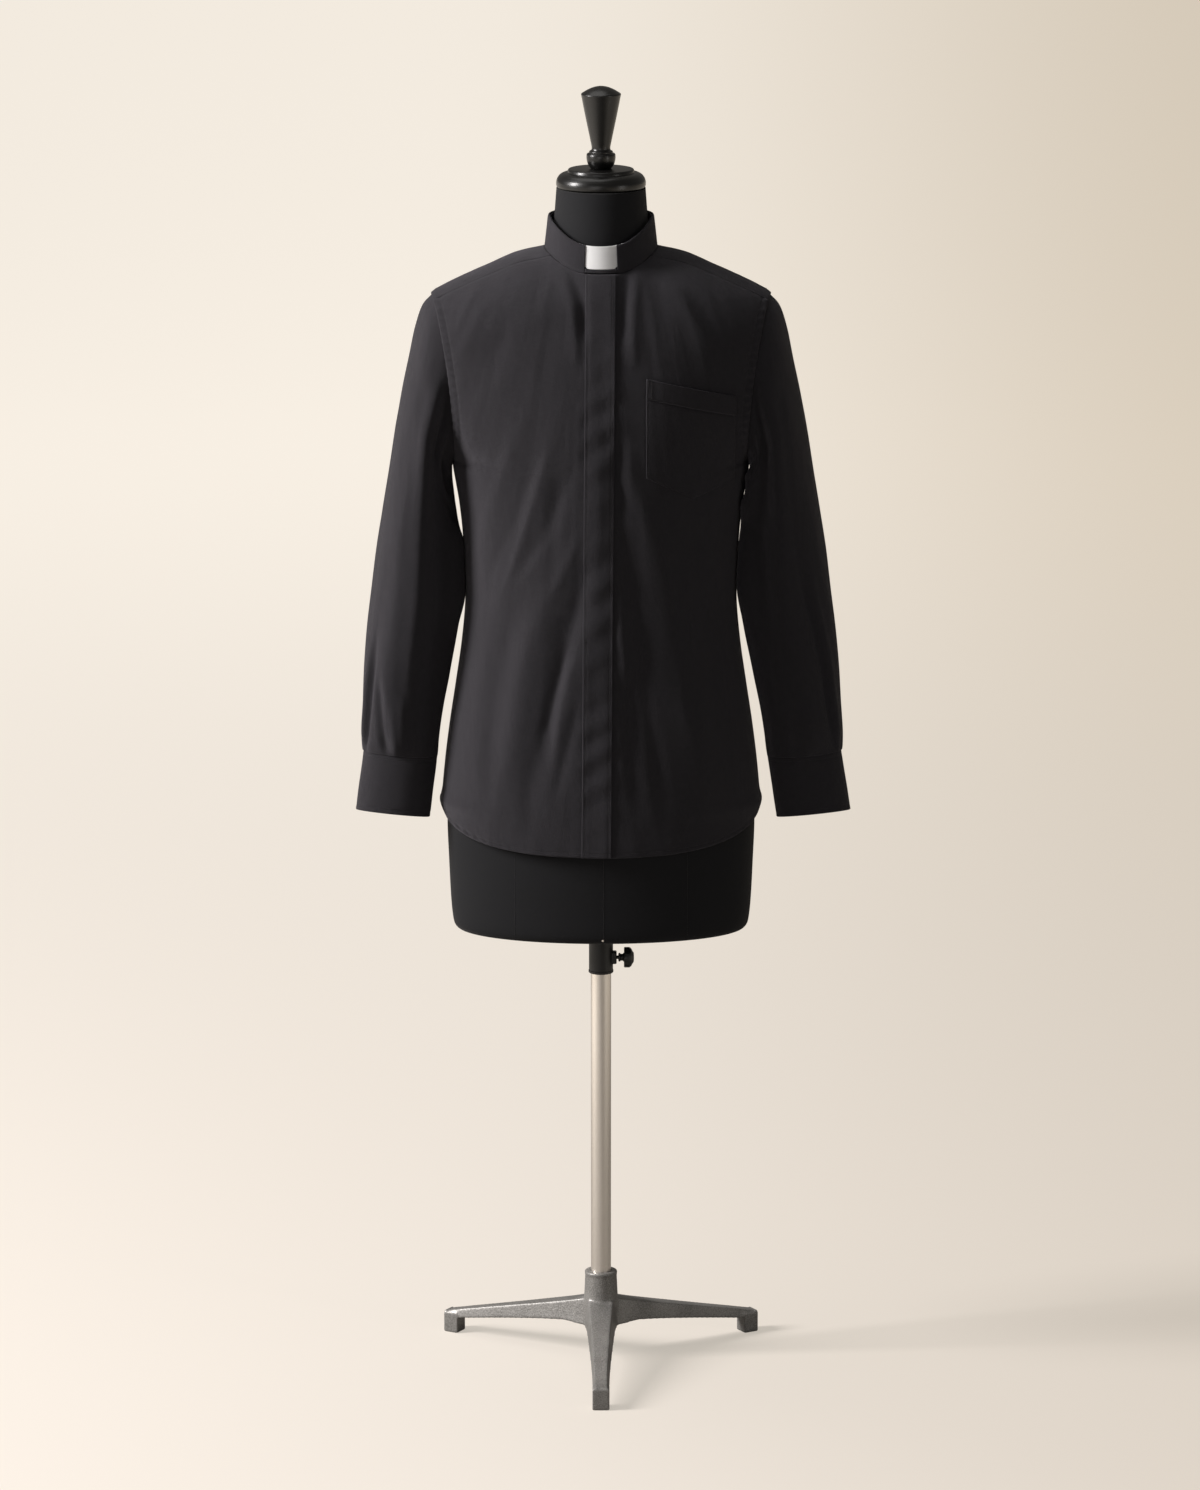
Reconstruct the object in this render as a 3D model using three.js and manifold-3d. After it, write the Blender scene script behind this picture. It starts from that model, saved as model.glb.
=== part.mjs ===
// A clergy shirt with a tab collar, buttoned on a limbless dress form that stands on a three-legged base.
// Millimetres, +Z up, the wearer faces -Y and the wearer's left is +X.
// The origin is on the floor, under the middle of the whole object.
import * as THREE from "three";
import { mergeVertices } from "three/addons/utils/BufferGeometryUtils.js";
import Module from "manifold-3d";

const wasm = await Module();
wasm.setup();

// ---------- driving dimensions ----------
const LEG_REACH = 224; // pole axis to the toe of a leg
const BACK_REACH = 122; // pole axis to the back of the shirt
const AXIS_Y = (LEG_REACH - BACK_REACH) / 2;

const CLOTH = 1.5; // wall of a cloth panel
const TRIM = 1.2; // wall of a narrow strip, pocket or collar layer
const CUFF_WALL = 2;
const SEAM_GAP = 0.3; // between two panels at a seam
const LAID_GAP = 0.6; // under a piece that lies on a panel

const HEM_Z = 667.5; // lowest point of the front hem
const HEM_RISE = 30; // how much higher the hem is at the side seam
const BACK_TAIL = 12; // extra length of the back
const PIT = { x: 181, z: 1140 }; // underarm point
const TIP = { x: 206, z: 1345 }; // shoulder point
const ARM_HOLLOW = { front: 10, back: 5 }; // how far the armhole curves in from a straight line
const ARM_DEPTH = { front: 62, back: 58 }; // armhole, forward and back of the shoulder point
const ARM_SCOOP = 80; // height of the rounded lower part of the armhole
const ARM_TURN = 32; // degrees by which the chest stops short of the side at the armhole
const CAP_RISE = { front: 80, back: 50 }; // height over which the shoulder rounds over
const ARM_POINTS = 20; // points round the armhole and the sleeve
const YOKE_STEP = 3; // armhole points from the shoulder point to the back yoke seam
const NECK = { side: 67, front: 78, back: 62 }; // neckline seen from above
const NECK_CORNER_X = 61; // where the yoke seam meets the neckline

const PLACKET = { half: 17.6, top: 1378.4 };
const PLACKET_LEAN = { hem: -5.5, neck: -0.3 }; // x of its middle at the hem and at the neck

const POLE_RADIUS = 12.5;
const POLE = { bottom: 62, top: 905 };
const POLE_FIT = 0.5; // clearance round the pole
const FORM_BASE_Z = 548;
const FORM_BORE_TOP = 1185;
const NECK_TOP_Z = 1468;

// Top line of the shoulders from the middle outwards.
const RIDGE = [
  { x: 0, z: 1425 },
  { x: 40, z: 1412 },
  { x: 67, z: 1402.5 },
  { x: 103, z: 1394 },
  { x: 137, z: 1379.5 },
  { x: 171, z: 1364 },
  { x: 200, z: 1349.5 },
  { x: 206, z: 1345 },
];

// Shirt below and above the underarm: half width at the side seam, depth in front and behind.
const SHIRT = [
  { z: 660, side: 195.5, front: 113, back: 118 },
  { z: 715, side: 195.7, front: 115, back: 120 },
  { z: 765, side: 191.7, front: 117, back: 120 },
  { z: 815, side: 185.4, front: 118, back: 117 },
  { z: 865, side: 177.8, front: 118, back: 112 },
  { z: 915, side: 170.6, front: 118, back: 108 },
  { z: 967, side: 166, front: 118, back: 106 },
  { z: 1010, side: 167, front: 119, back: 107 },
  { z: 1052, side: 169, front: 120, back: 109 },
  { z: 1089, side: 173, front: 121, back: 112 },
  { z: 1114, side: 177.2, front: 121, back: 113 },
  { z: 1140, side: 181, front: 121, back: 115 },
  { z: 1220, side: 181, front: 118, back: 116 },
  { z: 1280, side: 181, front: 110, back: 109 },
  { z: 1330, side: 181, front: 98, back: 97 },
  { z: 1380, side: 181, front: 86, back: 85 },
  { z: 1425, side: 181, front: 78, back: 76 },
];

// Largest folds of the body: a line down the cloth, height above it (a trough is negative), half width.
const BODY_FOLDS = [
  { face: "front", x0: -36, z0: 1125, x1: -70, z1: 965, rise: -4.5, spread: 13 },
  { face: "front", x0: -36, z0: 945, x1: -78, z1: 775, rise: -5.5, spread: 14 },
  { face: "front", x0: -58, z0: 1190, x1: -122, z1: 880, rise: 4, spread: 18 },
  { face: "front", x0: -88, z0: 1010, x1: -112, z1: 745, rise: -4, spread: 16 },
  { face: "front", x0: -128, z0: 960, x1: -146, z1: 730, rise: 3.5, spread: 16 },
  { face: "front", x0: 44, z0: 1075, x1: 96, z1: 800, rise: 4.5, spread: 18 },
  { face: "front", x0: 34, z0: 1105, x1: 62, z1: 880, rise: -4.5, spread: 14 },
  { face: "front", x0: 118, z0: 985, x1: 142, z1: 760, rise: -4, spread: 16 },
  { face: "front", x0: 54, z0: 860, x1: 66, z1: 700, rise: -3, spread: 14 },
  { face: "back", x0: -60, z0: 1180, x1: -98, z1: 800, rise: 4, spread: 20 },
  { face: "back", x0: -24, z0: 1120, x1: -40, z1: 790, rise: -4, spread: 18 },
  { face: "back", x0: 38, z0: 1160, x1: 58, z1: 760, rise: 4, spread: 20 },
  { face: "back", x0: 92, z0: 1120, x1: 118, z1: 780, rise: -4, spread: 20 },
  { face: "back", x0: -128, z0: 1060, x1: -142, z1: 790, rise: -3.5, spread: 16 },
];

// Sleeve from armhole to cuff: its outer and inner edge seen from the front, half depth, place in Y.
const SLEEVE = [
  { outX: 206, outZ: 1345, inX: 181, inZ: 1140, depth: 62, y: 0 },
  { outX: 218, outZ: 1331, inX: 182.6, inZ: 1134, depth: 63, y: 0 },
  { outX: 226.5, outZ: 1303, inX: 182.6, inZ: 1126, depth: 64, y: -1 },
  { outX: 233.5, outZ: 1266, inX: 181.6, inZ: 1116, depth: 64, y: -1 },
  { outX: 241.5, outZ: 1226, inX: 180, inZ: 1105, depth: 63, y: -2 },
  { outX: 249.5, outZ: 1183, inX: 178, inZ: 1092, depth: 61, y: -2 },
  { outX: 257.5, outZ: 1135, inX: 175.5, inZ: 1075, depth: 58, y: -3 },
  { outX: 266.5, outZ: 1082, inX: 172.8, inZ: 1052, depth: 55, y: -4 },
  { outX: 274.5, outZ: 1030, inX: 171, inZ: 1018, depth: 51, y: -5 },
  { outX: 280.5, outZ: 980, inX: 169.8, inZ: 976, depth: 47, y: -6 },
  { outX: 286.5, outZ: 930, inX: 174.8, inZ: 930, depth: 44, y: -6 },
  { outX: 290, outZ: 884, inX: 183, inZ: 884, depth: 41, y: -7 },
  { outX: 291.6, outZ: 842, inX: 190.4, inZ: 840, depth: 38, y: -7 },
  { outX: 293.2, outZ: 806, inX: 196.4, inZ: 801, depth: 34, y: -8 },
  { outX: 292.6, outZ: 780.6, inX: 200, inZ: 773, depth: 29, y: -8 },
];
const SLEEVE_SHAPED = 4; // rows over which the armhole's outline turns into an oval
const SLEEVE_GAP = 0.5;

// Largest folds of a sleeve: degrees round it from the top forwards, first and last row, height, half width.
const SLEEVE_FOLDS = [
  { around: 118, from: 2, to: 12, rise: -5, spread: 16 },
  { around: 62, from: 5, to: 13.5, rise: 3, spread: 20 },
  { around: 205, from: 5, to: 12, rise: -4, spread: 18 },
  { around: 262, from: 3, to: 13, rise: -4.5, spread: 18 },
  { around: 318, from: 6, to: 13.5, rise: 3, spread: 20 },
];

const CUFF = [
  { outX: 291.4, outZ: 779.8, inX: 200.8, inZ: 772.2, depth: 28, y: -8 },
  { outX: 296.4, outZ: 742.6, inX: 205.6, inZ: 734, depth: 28.4, y: -8.4 },
  { outX: 301.4, outZ: 705.4, inX: 210.4, inZ: 695.8, depth: 29, y: -9 },
];
const CUFF_BUTTON = { around: 292, down: 0.5, radius: 5.2, height: 2.2 };
const SLIT = { around: 278, width: 24, rows: 3.1 };

const COLLAR = { front: 32.4, side: 38.4, back: 42 }; // height of the collar
const COLLAR_TOP = { side: 66.4, front: 72.4, back: 58.6 };
const COLLAR_LIFT = 0.6; // the collar stands this far above the neckline
const COLLAR_STEPS = 32;
const WINDOW_HALF_X = 19.6; // half of the gap that shows the tab
const TAB = { half: 31, lower: 0.16, upper: 0.985, wall: 0.9 };
const LAYER = { tab: 1.6, band: 2.9 }; // how far the tab and the neckband lie inside the outer collar
const TAB_BOW = 1.5; // how far the tab bows out in the gap

const POCKET = {
  corner: { left: 54.5, right: 161.5 },
  topLeft: 1255,
  topRight: 1236,
  bottomLeft: 1138,
  bottomRight: 1128,
  point: { along: 0.53, z: 1110 },
};

// Dress form under the shirt: half width, depth in front and behind.
const FORM = [
  { z: 548, side: 170, front: 84, back: 88 },
  { z: 549.5, side: 175, front: 89, back: 93 },
  { z: 554, side: 179.4, front: 93.2, back: 97.4 },
  { z: 562, side: 182, front: 95.6, back: 99.8 },
  { z: 590, side: 184.8, front: 97.6, back: 103 },
  { z: 640, side: 187.2, front: 100.4, back: 108 },
  { z: 690, side: 189, front: 102, back: 112 },
  { z: 740, side: 187.6, front: 102, back: 112.6 },
  { z: 790, side: 180, front: 100, back: 107 },
  { z: 840, side: 169.6, front: 98, back: 98 },
  { z: 900, side: 157.4, front: 95, back: 90 },
  { z: 960, side: 152.6, front: 95, back: 89 },
  { z: 1020, side: 155.6, front: 99, back: 93 },
  { z: 1080, side: 162, front: 105, back: 100 },
  { z: 1130, side: 168.6, front: 110, back: 105 },
  { z: 1180, side: 175, front: 112, back: 109 },
  { z: 1230, side: 183, front: 111, back: 109 },
  { z: 1270, side: 190.4, front: 106.6, back: 104 },
  { z: 1300, side: 195.4, front: 100.6, back: 99 },
  { z: 1322, side: 198, front: 95.6, back: 94 },
];
const FORM_INSET = 3.8; // form below the outer face of the shirt at the shoulders
const FORM_CROWN = [1336, 1346, 1356, 1366, 1376, 1386, 1395, 1404, 1412, 1418]; // over the shoulders
const FORM_POINTS = 36;
const FORM_NECK = [
  { z: 1330, side: 58, front: 60, back: 52 },
  { z: 1378, side: 62, front: 70, back: 55 },
  { z: 1404, side: 62, front: 68.5, back: 55 },
  { z: 1430, side: 61, front: 66, back: 54 },
  { z: 1441, side: 60.2, front: 64.5, back: 53 },
  { z: 1447, side: 58.6, front: 62.5, back: 52 },
  { z: 1454, side: 55.8, front: 60, back: 51.4 },
  { z: 1468, side: 54.3, front: 58.5, back: 51 },
];

// Leg of the base, from the hub to the toe, seen from its side.
const LEG = {
  rootRadius: 14,
  toe: LEG_REACH,
  footLength: 21,
  footStep: 8,
  rootHalf: 13,
  toeHalf: 10.4,
  edge: 2.4,
};
const LEG_TOP = { root: 76, toe: 27 };
const LEG_UNDER = { root: 49, toe: 18.5 };
const LEG_WALL = 3.6;
const HUB = { top: 112, topRadius: 19.6, waistZ: 76, waistRadius: 21, skirtRadius: 22.4, bottom: 40 };

const SOCKET = { bottom: 495.6, radius: 15.4, bossRadius: 6.6, bossEnd: 19.4, holeRadius: 3.5 };
const SCREW_Z = 514.5;
const KNOB = { radius: 13.4, start: 28.4, end: 40.8, lobes: 8, lobeDepth: 0.9 };

// ---------- materials ----------
const finish = (color, roughness, metalness = 0) =>
  new THREE.MeshStandardMaterial({ color, roughness, metalness });
const shirting = () => finish(0x1b1a1e, 0.85);
const jersey = () => finish(0x121215, 0.85);
const lacquer = () => finish(0x0c0c0e, 0.25);
const blackPlastic = () => finish(0x111113, 0.45);
const whitePlastic = () => finish(0xf0f0ee, 0.3);
const castGrey = () => finish(0x6e6c69, 0.5, 0.7);
const brushedSteel = () => finish(0xa89f95, 0.3, 1);

// ---------- small maths ----------
const lerp = (a, b, t) => a + (b - a) * t;
const clamp = (value, low, high) => Math.min(high, Math.max(low, value));
const radians = (degrees) => (degrees * Math.PI) / 180;
const smooth = (t) => {
  const u = clamp(t, 0, 1);
  return u * u * (3 - 2 * u);
};
const range = (count) => Array.from({ length: count }, (_, i) => i);

// A smooth value of one column of a table, read at a place of its key column.
function tableValue(table, key, at, column) {
  const last = table.length - 1;
  const rising = table[last][key] > table[0][key];
  let row = 0;
  while (row < last - 1 && (rising ? table[row + 1][key] < at : table[row + 1][key] > at)) row += 1;
  const span = table[row + 1][key] - table[row][key];
  const t = clamp((at - table[row][key]) / span, 0, 1);
  const before = table[Math.max(row - 1, 0)];
  const after = table[Math.min(row + 2, last)];
  const slopeIn = ((table[row + 1][column] - before[column]) / (table[row + 1][key] - before[key])) * span;
  const slopeOut = ((after[column] - table[row][column]) / (after[key] - table[row][key])) * span;
  const t2 = t * t;
  const t3 = t2 * t;
  return (
    (2 * t3 - 3 * t2 + 1) * table[row][column] +
    (t3 - 2 * t2 + t) * slopeIn +
    (3 * t2 - 2 * t3) * table[row + 1][column] +
    (t3 - t2) * slopeOut
  );
}

const ridgeZ = (x) => tableValue(RIDGE, "x", Math.abs(x), "z");

// ---------- closed solids from rows of points ----------
function solidGeometry(positions, index) {
  let volume = 0;
  const point = (i) => new THREE.Vector3().fromArray(positions, 3 * i);
  for (let i = 0; i < index.length; i += 3) {
    volume += point(index[i]).dot(point(index[i + 1]).cross(point(index[i + 2])));
  }
  const faces = [...index];
  if (volume < 0) faces.reverse();
  const geometry = new THREE.BufferGeometry();
  geometry.setAttribute("position", new THREE.Float32BufferAttribute(positions, 3));
  geometry.setIndex(faces);
  geometry.computeVertexNormals();
  return geometry;
}

// A wall between an outer and an inner grid of points; loop joins its last column to its first.
function wallGeometry(outer, inner, loop = false) {
  const rows = outer.length;
  const columns = outer[0].length;
  const positions = [outer, inner].flat(2).flatMap((p) => p.toArray());
  const at = (layer, row, column) => (layer * rows + row) * columns + (column % columns);
  const index = [];
  const quad = (a, b, c, d) => index.push(a, b, c, a, c, d);
  const across = loop ? columns : columns - 1;
  for (const column of range(across)) {
    for (const row of range(rows - 1)) {
      quad(at(0, row, column), at(0, row, column + 1), at(0, row + 1, column + 1), at(0, row + 1, column));
      quad(at(1, row, column), at(1, row + 1, column), at(1, row + 1, column + 1), at(1, row, column + 1));
    }
    const end = rows - 1;
    quad(at(0, 0, column), at(1, 0, column), at(1, 0, column + 1), at(0, 0, column + 1));
    quad(at(0, end, column), at(0, end, column + 1), at(1, end, column + 1), at(1, end, column));
  }
  if (!loop) {
    const side = columns - 1;
    for (const row of range(rows - 1)) {
      quad(at(0, row, 0), at(0, row + 1, 0), at(1, row + 1, 0), at(1, row, 0));
      quad(at(0, row, side), at(1, row, side), at(1, row + 1, side), at(0, row + 1, side));
    }
  }
  return solidGeometry(positions, index);
}

// A solid through closed rings, shut by a middle point at each end.
function ringSolid(rings) {
  const count = rings[0].length;
  const middle = (ring) => ring.reduce((sum, p) => sum.add(p), new THREE.Vector3()).divideScalar(count);
  const points = [...rings.flat(), middle(rings[0]), middle(rings.at(-1))];
  const index = [];
  for (const row of range(rings.length - 1)) {
    for (const k of range(count)) {
      const a = row * count + k;
      const b = row * count + ((k + 1) % count);
      index.push(a, b, b + count, a, b + count, a + count);
    }
  }
  const low = rings.length * count;
  const top = (rings.length - 1) * count;
  for (const k of range(count)) {
    const next = (k + 1) % count;
    index.push(low, next, k, low + 1, top + k, top + next);
  }
  return solidGeometry(points.flatMap((p) => p.toArray()), index);
}

// ---------- booleans ----------
function toManifold(geometry) {
  const bare = geometry.clone();
  bare.deleteAttribute("normal");
  bare.deleteAttribute("uv");
  const merged = mergeVertices(bare, 1e-4);
  const mesh = new wasm.Mesh({
    numProp: 3,
    vertProperties: merged.attributes.position.array,
    triVerts: new Uint32Array(merged.index.array),
  });
  return new wasm.Manifold(mesh);
}

function fromManifold(solid) {
  const mesh = solid.getMesh();
  const geometry = new THREE.BufferGeometry();
  geometry.setAttribute("position", new THREE.BufferAttribute(mesh.vertProperties, 3));
  geometry.setIndex(new THREE.BufferAttribute(mesh.triVerts, 1));
  geometry.computeVertexNormals();
  return geometry;
}

// ---------- the body of the shirt as one surface ----------
const FACES = { front: -1, back: 1 };
const armMiddleZ = (TIP.z + PIT.z) / 2;
const armHalfZ = (TIP.z - PIT.z) / 2;
const armPointZ = (step) => armMiddleZ + armHalfZ * Math.cos((2 * Math.PI * step) / ARM_POINTS);
const YOKE_BACK_Z = armPointZ(YOKE_STEP);

function sideX(face, z) {
  if (z <= PIT.z) return tableValue(SHIRT, "z", z, "side");
  const height = Math.min(z, TIP.z);
  const along = (height - armMiddleZ) / armHalfZ;
  const straight = lerp(PIT.x, TIP.x, (along + 1) / 2);
  return straight - ARM_HOLLOW[face] * Math.sqrt(Math.max(0, 1 - along * along));
}

// 0 at and below the underarm, 1 once the armhole has its full depth.
function armOpening(z) {
  if (z <= PIT.z) return 0;
  if (z >= PIT.z + ARM_SCOOP) return 1;
  const left = (PIT.z + ARM_SCOOP - z) / ARM_SCOOP;
  return Math.sqrt(1 - left * left);
}

const turnLimit = (z) => radians(90 - ARM_TURN * armOpening(z));

// Distance from the pole axis, forwards or backwards, before the shoulder rounds over.
function bodyDepth(face, turn, z) {
  const opening = armOpening(z);
  const edge = ARM_DEPTH[face] * opening;
  const limit = Math.cos(turnLimit(z));
  const middle = tableValue(SHIRT, "z", z, face);
  return edge + ((middle - edge) * (Math.cos(turn) - limit)) / (1 - limit);
}

function shoulderRound(face, x, z, ridge = ridgeZ(x)) {
  const below = (ridge - z) / CAP_RISE[face];
  if (below >= 1) return 1;
  if (below <= 0) return 0;
  return Math.sqrt(1 - (1 - below) ** 2);
}

function turnAt(face, x, z) {
  return Math.asin(clamp((x * Math.sin(turnLimit(z))) / sideX(face, z), -1, 1));
}

function foldHeight(folds, x, z) {
  let height = 0;
  for (const fold of folds) {
    const dx = fold.x1 - fold.x0;
    const dz = fold.z1 - fold.z0;
    const length = Math.hypot(dx, dz);
    const along = ((x - fold.x0) * dx + (z - fold.z0) * dz) / length;
    const across = ((x - fold.x0) * dz - (z - fold.z0) * dx) / length;
    const fade = smooth((along + 30) / 80) * smooth((length + 40 - along) / 110);
    height += fold.rise * fade * Math.exp(-((across / fold.spread) ** 2));
  }
  return height;
}

const facing = (face) => BODY_FOLDS.filter((fold) => fold.face === face);
const foldsOf = { front: facing("front"), back: facing("back") };

function flatBodyPoint(face, turn, z) {
  const x = (sideX(face, z) * Math.sin(turn)) / Math.sin(turnLimit(z));
  return new THREE.Vector3(x, FACES[face] * bodyDepth(face, turn, z) * shoulderRound(face, x, z), z);
}

// A point of the body's outer face with its outward direction; lift moves it along that direction.
function bodyPoint(face, turn, z, lift = 0) {
  const step = 0.004;
  const rise = 0.5;
  const alongTurn = flatBodyPoint(face, turn + step, z).sub(flatBodyPoint(face, turn - step, z));
  const alongZ = flatBodyPoint(face, turn, z + rise).sub(flatBodyPoint(face, turn, z - rise));
  const out = alongTurn.cross(alongZ).normalize();
  if (face === "back") out.negate();
  const point = flatBodyPoint(face, turn, z);
  const fold = foldHeight(foldsOf[face], point.x, z) * Math.abs(Math.cos(turn));
  return point.addScaledVector(out, fold + lift);
}

const bodyPointAtX = (face, x, z, lift) => bodyPoint(face, turnAt(face, x, z), z, lift);

// Over the shoulder: w is the way along the cloth from the ridge, forwards below 0 and backwards above.
const FRONT_ARC = 80;
const BACK_ARC = 65;
const BACK_ARC_END = (BACK_ARC * Math.PI) / 2;

function flatShoulderPoint(x, w) {
  const ridge = ridgeZ(x);
  if (w < 0) {
    const bend = -w / FRONT_ARC;
    const z = ridge - CAP_RISE.front * (1 - Math.cos(bend));
    return new THREE.Vector3(x, -bodyDepth("front", turnAt("front", x, z), z) * Math.sin(bend), z);
  }
  if (w < BACK_ARC_END) {
    const bend = w / BACK_ARC;
    const z = ridge - CAP_RISE.back * (1 - Math.cos(bend));
    return new THREE.Vector3(x, bodyDepth("back", turnAt("back", x, z), z) * Math.sin(bend), z);
  }
  const z = ridge - CAP_RISE.back - (w - BACK_ARC_END);
  return new THREE.Vector3(x, bodyDepth("back", turnAt("back", x, z), z), z);
}

function shoulderPoint(x, w, lift = 0) {
  const step = 0.6;
  const alongX = flatShoulderPoint(x + step, w).sub(flatShoulderPoint(x - step, w));
  const alongW = flatShoulderPoint(x, w + step).sub(flatShoulderPoint(x, w - step));
  const out = alongX.cross(alongW).normalize();
  return flatShoulderPoint(x, w).addScaledVector(out, lift);
}

// ---------- neckline ----------
function neckPlan(angle) {
  const depth = Math.cos(angle) > 0 ? NECK.front : NECK.back;
  return { x: NECK.side * Math.sin(angle), y: -depth * Math.cos(angle) };
}

function necklineW(angle) {
  const plan = neckPlan(angle);
  const face = plan.y < 0 ? "front" : "back";
  let z = ridgeZ(plan.x) - 20;
  let bend = 0;
  for (const _ of range(6)) {
    const depth = bodyDepth(face, turnAt(face, plan.x, z), z);
    bend = Math.asin(clamp(Math.abs(plan.y) / depth, 0, 1));
    z = ridgeZ(plan.x) - CAP_RISE[face] * (1 - Math.cos(bend));
  }
  return { x: plan.x, w: plan.y < 0 ? -FRONT_ARC * bend : BACK_ARC * bend, z };
}

const neckAngleAtX = (x) => Math.asin(clamp(x / NECK.side, -1, 1));
const necklineFrontZ = (x) => necklineW(neckAngleAtX(x)).z;

// Front yoke seam: how far it lies below the ridge, from the neckline to the shoulder point.
const CORNER_DROP = ridgeZ(NECK_CORNER_X) - necklineFrontZ(NECK_CORNER_X);
const SEAM_END_X = sideX("front", armPointZ(1));
const TIP_DROP = ridgeZ(SEAM_END_X) - armPointZ(1);
const seamShare = (x) => (x - NECK_CORNER_X) / (SEAM_END_X - NECK_CORNER_X);
const seamDrop = (x) => lerp(CORNER_DROP, TIP_DROP, smooth(seamShare(x)));
const frontSeamW = (x) => -FRONT_ARC * Math.acos(1 - seamDrop(x) / CAP_RISE.front);

// ---------- fronts and back ----------
const LOWER_ROWS = 14; // hem to underarm
const placketX = (z) => lerp(PLACKET_LEAN.hem, PLACKET_LEAN.neck, (z - HEM_Z) / (PLACKET.top - HEM_Z));

function hemZ(face, across) {
  const tail = face === "back" ? BACK_TAIL : 0;
  const rise = Math.abs(across) ** 3;
  return HEM_Z - tail * (1 - rise) + HEM_RISE * rise;
}

// Heights of a panel's rows in one column: even from the hem to the underarm, then at the armhole's points.
function rowHeights(face, across, topZ, lastArmStep) {
  const low = hemZ(face, across);
  const armTop = armPointZ(lastArmStep);
  const lower = range(LOWER_ROWS).map((i) => lerp(low, PIT.z, i / LOWER_ROWS));
  const upper = range(ARM_POINTS / 2 - lastArmStep + 1).map((i) => {
    const share = (armPointZ(ARM_POINTS / 2 - i) - PIT.z) / (armTop - PIT.z);
    return lerp(PIT.z, topZ, share);
  });
  return [...lower, ...upper];
}

const NECK_COLUMNS = 3;
const SHOULDER_COLUMNS = 8;

function frontColumns(side) {
  const corner = turnAt("front", NECK_CORNER_X, TIP.z) / turnLimit(TIP.z);
  const neck = range(NECK_COLUMNS).map((i) => (corner * i) / NECK_COLUMNS);
  const shoulder = range(SHOULDER_COLUMNS + 1).map((i) => lerp(corner, 1, i / SHOULDER_COLUMNS));
  return [...neck, ...shoulder].map((share) => share * side);
}

// Where a column of the front meets the neckline or the yoke seam.
function frontTop(share) {
  const reach = Math.abs(share);
  const top = { x: 0, z: TIP.z };
  for (const _ of range(12)) {
    const limit = turnLimit(top.z);
    top.x = (sideX("front", top.z) * Math.sin(reach * limit)) / Math.sin(limit);
    top.z = top.x < NECK_CORNER_X - 0.01 ? necklineFrontZ(top.x) : ridgeZ(top.x) - seamDrop(top.x);
  }
  return top;
}

function frontGrid(side, lift) {
  const columns = frontColumns(side).map((share) => {
    const heights = rowHeights("front", share, frontTop(share).z - SEAM_GAP, 1);
    return heights.map((z) => {
      const limit = turnLimit(z);
      const start = turnAt("front", placketX(z) + (side * SEAM_GAP) / 2, z);
      const edge = side * (limit - SEAM_GAP / 2 / sideX("front", z));
      return bodyPoint("front", lerp(start, edge, Math.abs(share)), z, lift);
    });
  });
  return columns[0].map((_, row) => columns.map((column) => column[row]));
}

const front = (side) => wallGeometry(frontGrid(side, 0), frontGrid(side, -CLOTH));

const BACK_COLUMNS = 20;
function backGrid(lift) {
  const columns = range(BACK_COLUMNS + 1).map((i) => {
    const share = (2 * i) / BACK_COLUMNS - 1;
    const heights = rowHeights("back", share, YOKE_BACK_Z - SEAM_GAP, YOKE_STEP);
    return heights.map((z) => {
      const edge = turnLimit(z) - SEAM_GAP / 2 / sideX("back", z);
      return bodyPoint("back", share * edge, z, lift);
    });
  });
  return columns[0].map((_, row) => columns.map((column) => column[row]));
}

const back = () => wallGeometry(backGrid(0), backGrid(-CLOTH));

// ---------- yoke ----------
// The way along the cloth from the ridge down to a height, in front or behind.
function wayDown(face, x, z) {
  const drop = Math.max(0, ridgeZ(x) - z);
  const rise = CAP_RISE[face];
  if (face === "front") return -FRONT_ARC * Math.acos(1 - Math.min(drop, rise) / rise);
  if (drop < rise) return BACK_ARC * Math.acos(1 - drop / rise);
  return BACK_ARC_END + drop - rise;
}

const YOKE_ARM_STEPS = YOKE_STEP + 1; // along the armhole, from the front seam to the back seam
const YOKE_SEAM_STEPS = 10; // along half of the back seam

// Outer border of one half of the yoke, from the front end of the armhole seam to the middle of the back.
function yokeBorder() {
  const arm = range(YOKE_ARM_STEPS + 1).map((i) => {
    const z = armPointZ(Math.abs(i - 1));
    const face = i === 0 ? "front" : "back";
    const x = sideX(face, z);
    return { x, w: wayDown(face, x, z) };
  });
  const seamX = arm.at(-1).x;
  const seam = range(YOKE_SEAM_STEPS).map((i) => {
    const x = lerp(seamX, 0, (i + 1) / YOKE_SEAM_STEPS);
    return { x, w: wayDown("back", x, YOKE_BACK_Z) };
  });
  return [...arm, ...seam];
}

function yokeGrid(lift) {
  const border = yokeBorder();
  const startAngle = neckAngleAtX(NECK_CORNER_X);
  const seamColumns = frontColumns(1).slice(NECK_COLUMNS);
  const seamShares = seamColumns.map((share) => seamShare(frontTop(share).x));
  const half = border.map((outer, i) => {
    const neck = necklineW(lerp(startAngle, Math.PI, i / (border.length - 1)));
    return seamShares.map((share) => {
      const x = lerp(neck.x, outer.x, share);
      const w = i === 0 ? frontSeamW(x) : lerp(neck.w, outer.w, share);
      return { x, w };
    });
  });
  const place = (at, sign) => shoulderPoint(sign * at.x, at.w, lift);
  const right = half.map((line) => line.map((at) => place(at, 1)));
  const left = half.slice(0, -1).map((line) => line.map((at) => place(at, -1)));
  return [...right, ...left.reverse()];
}

const yoke = () => wallGeometry(yokeGrid(0), yokeGrid(-CLOTH));

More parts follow.
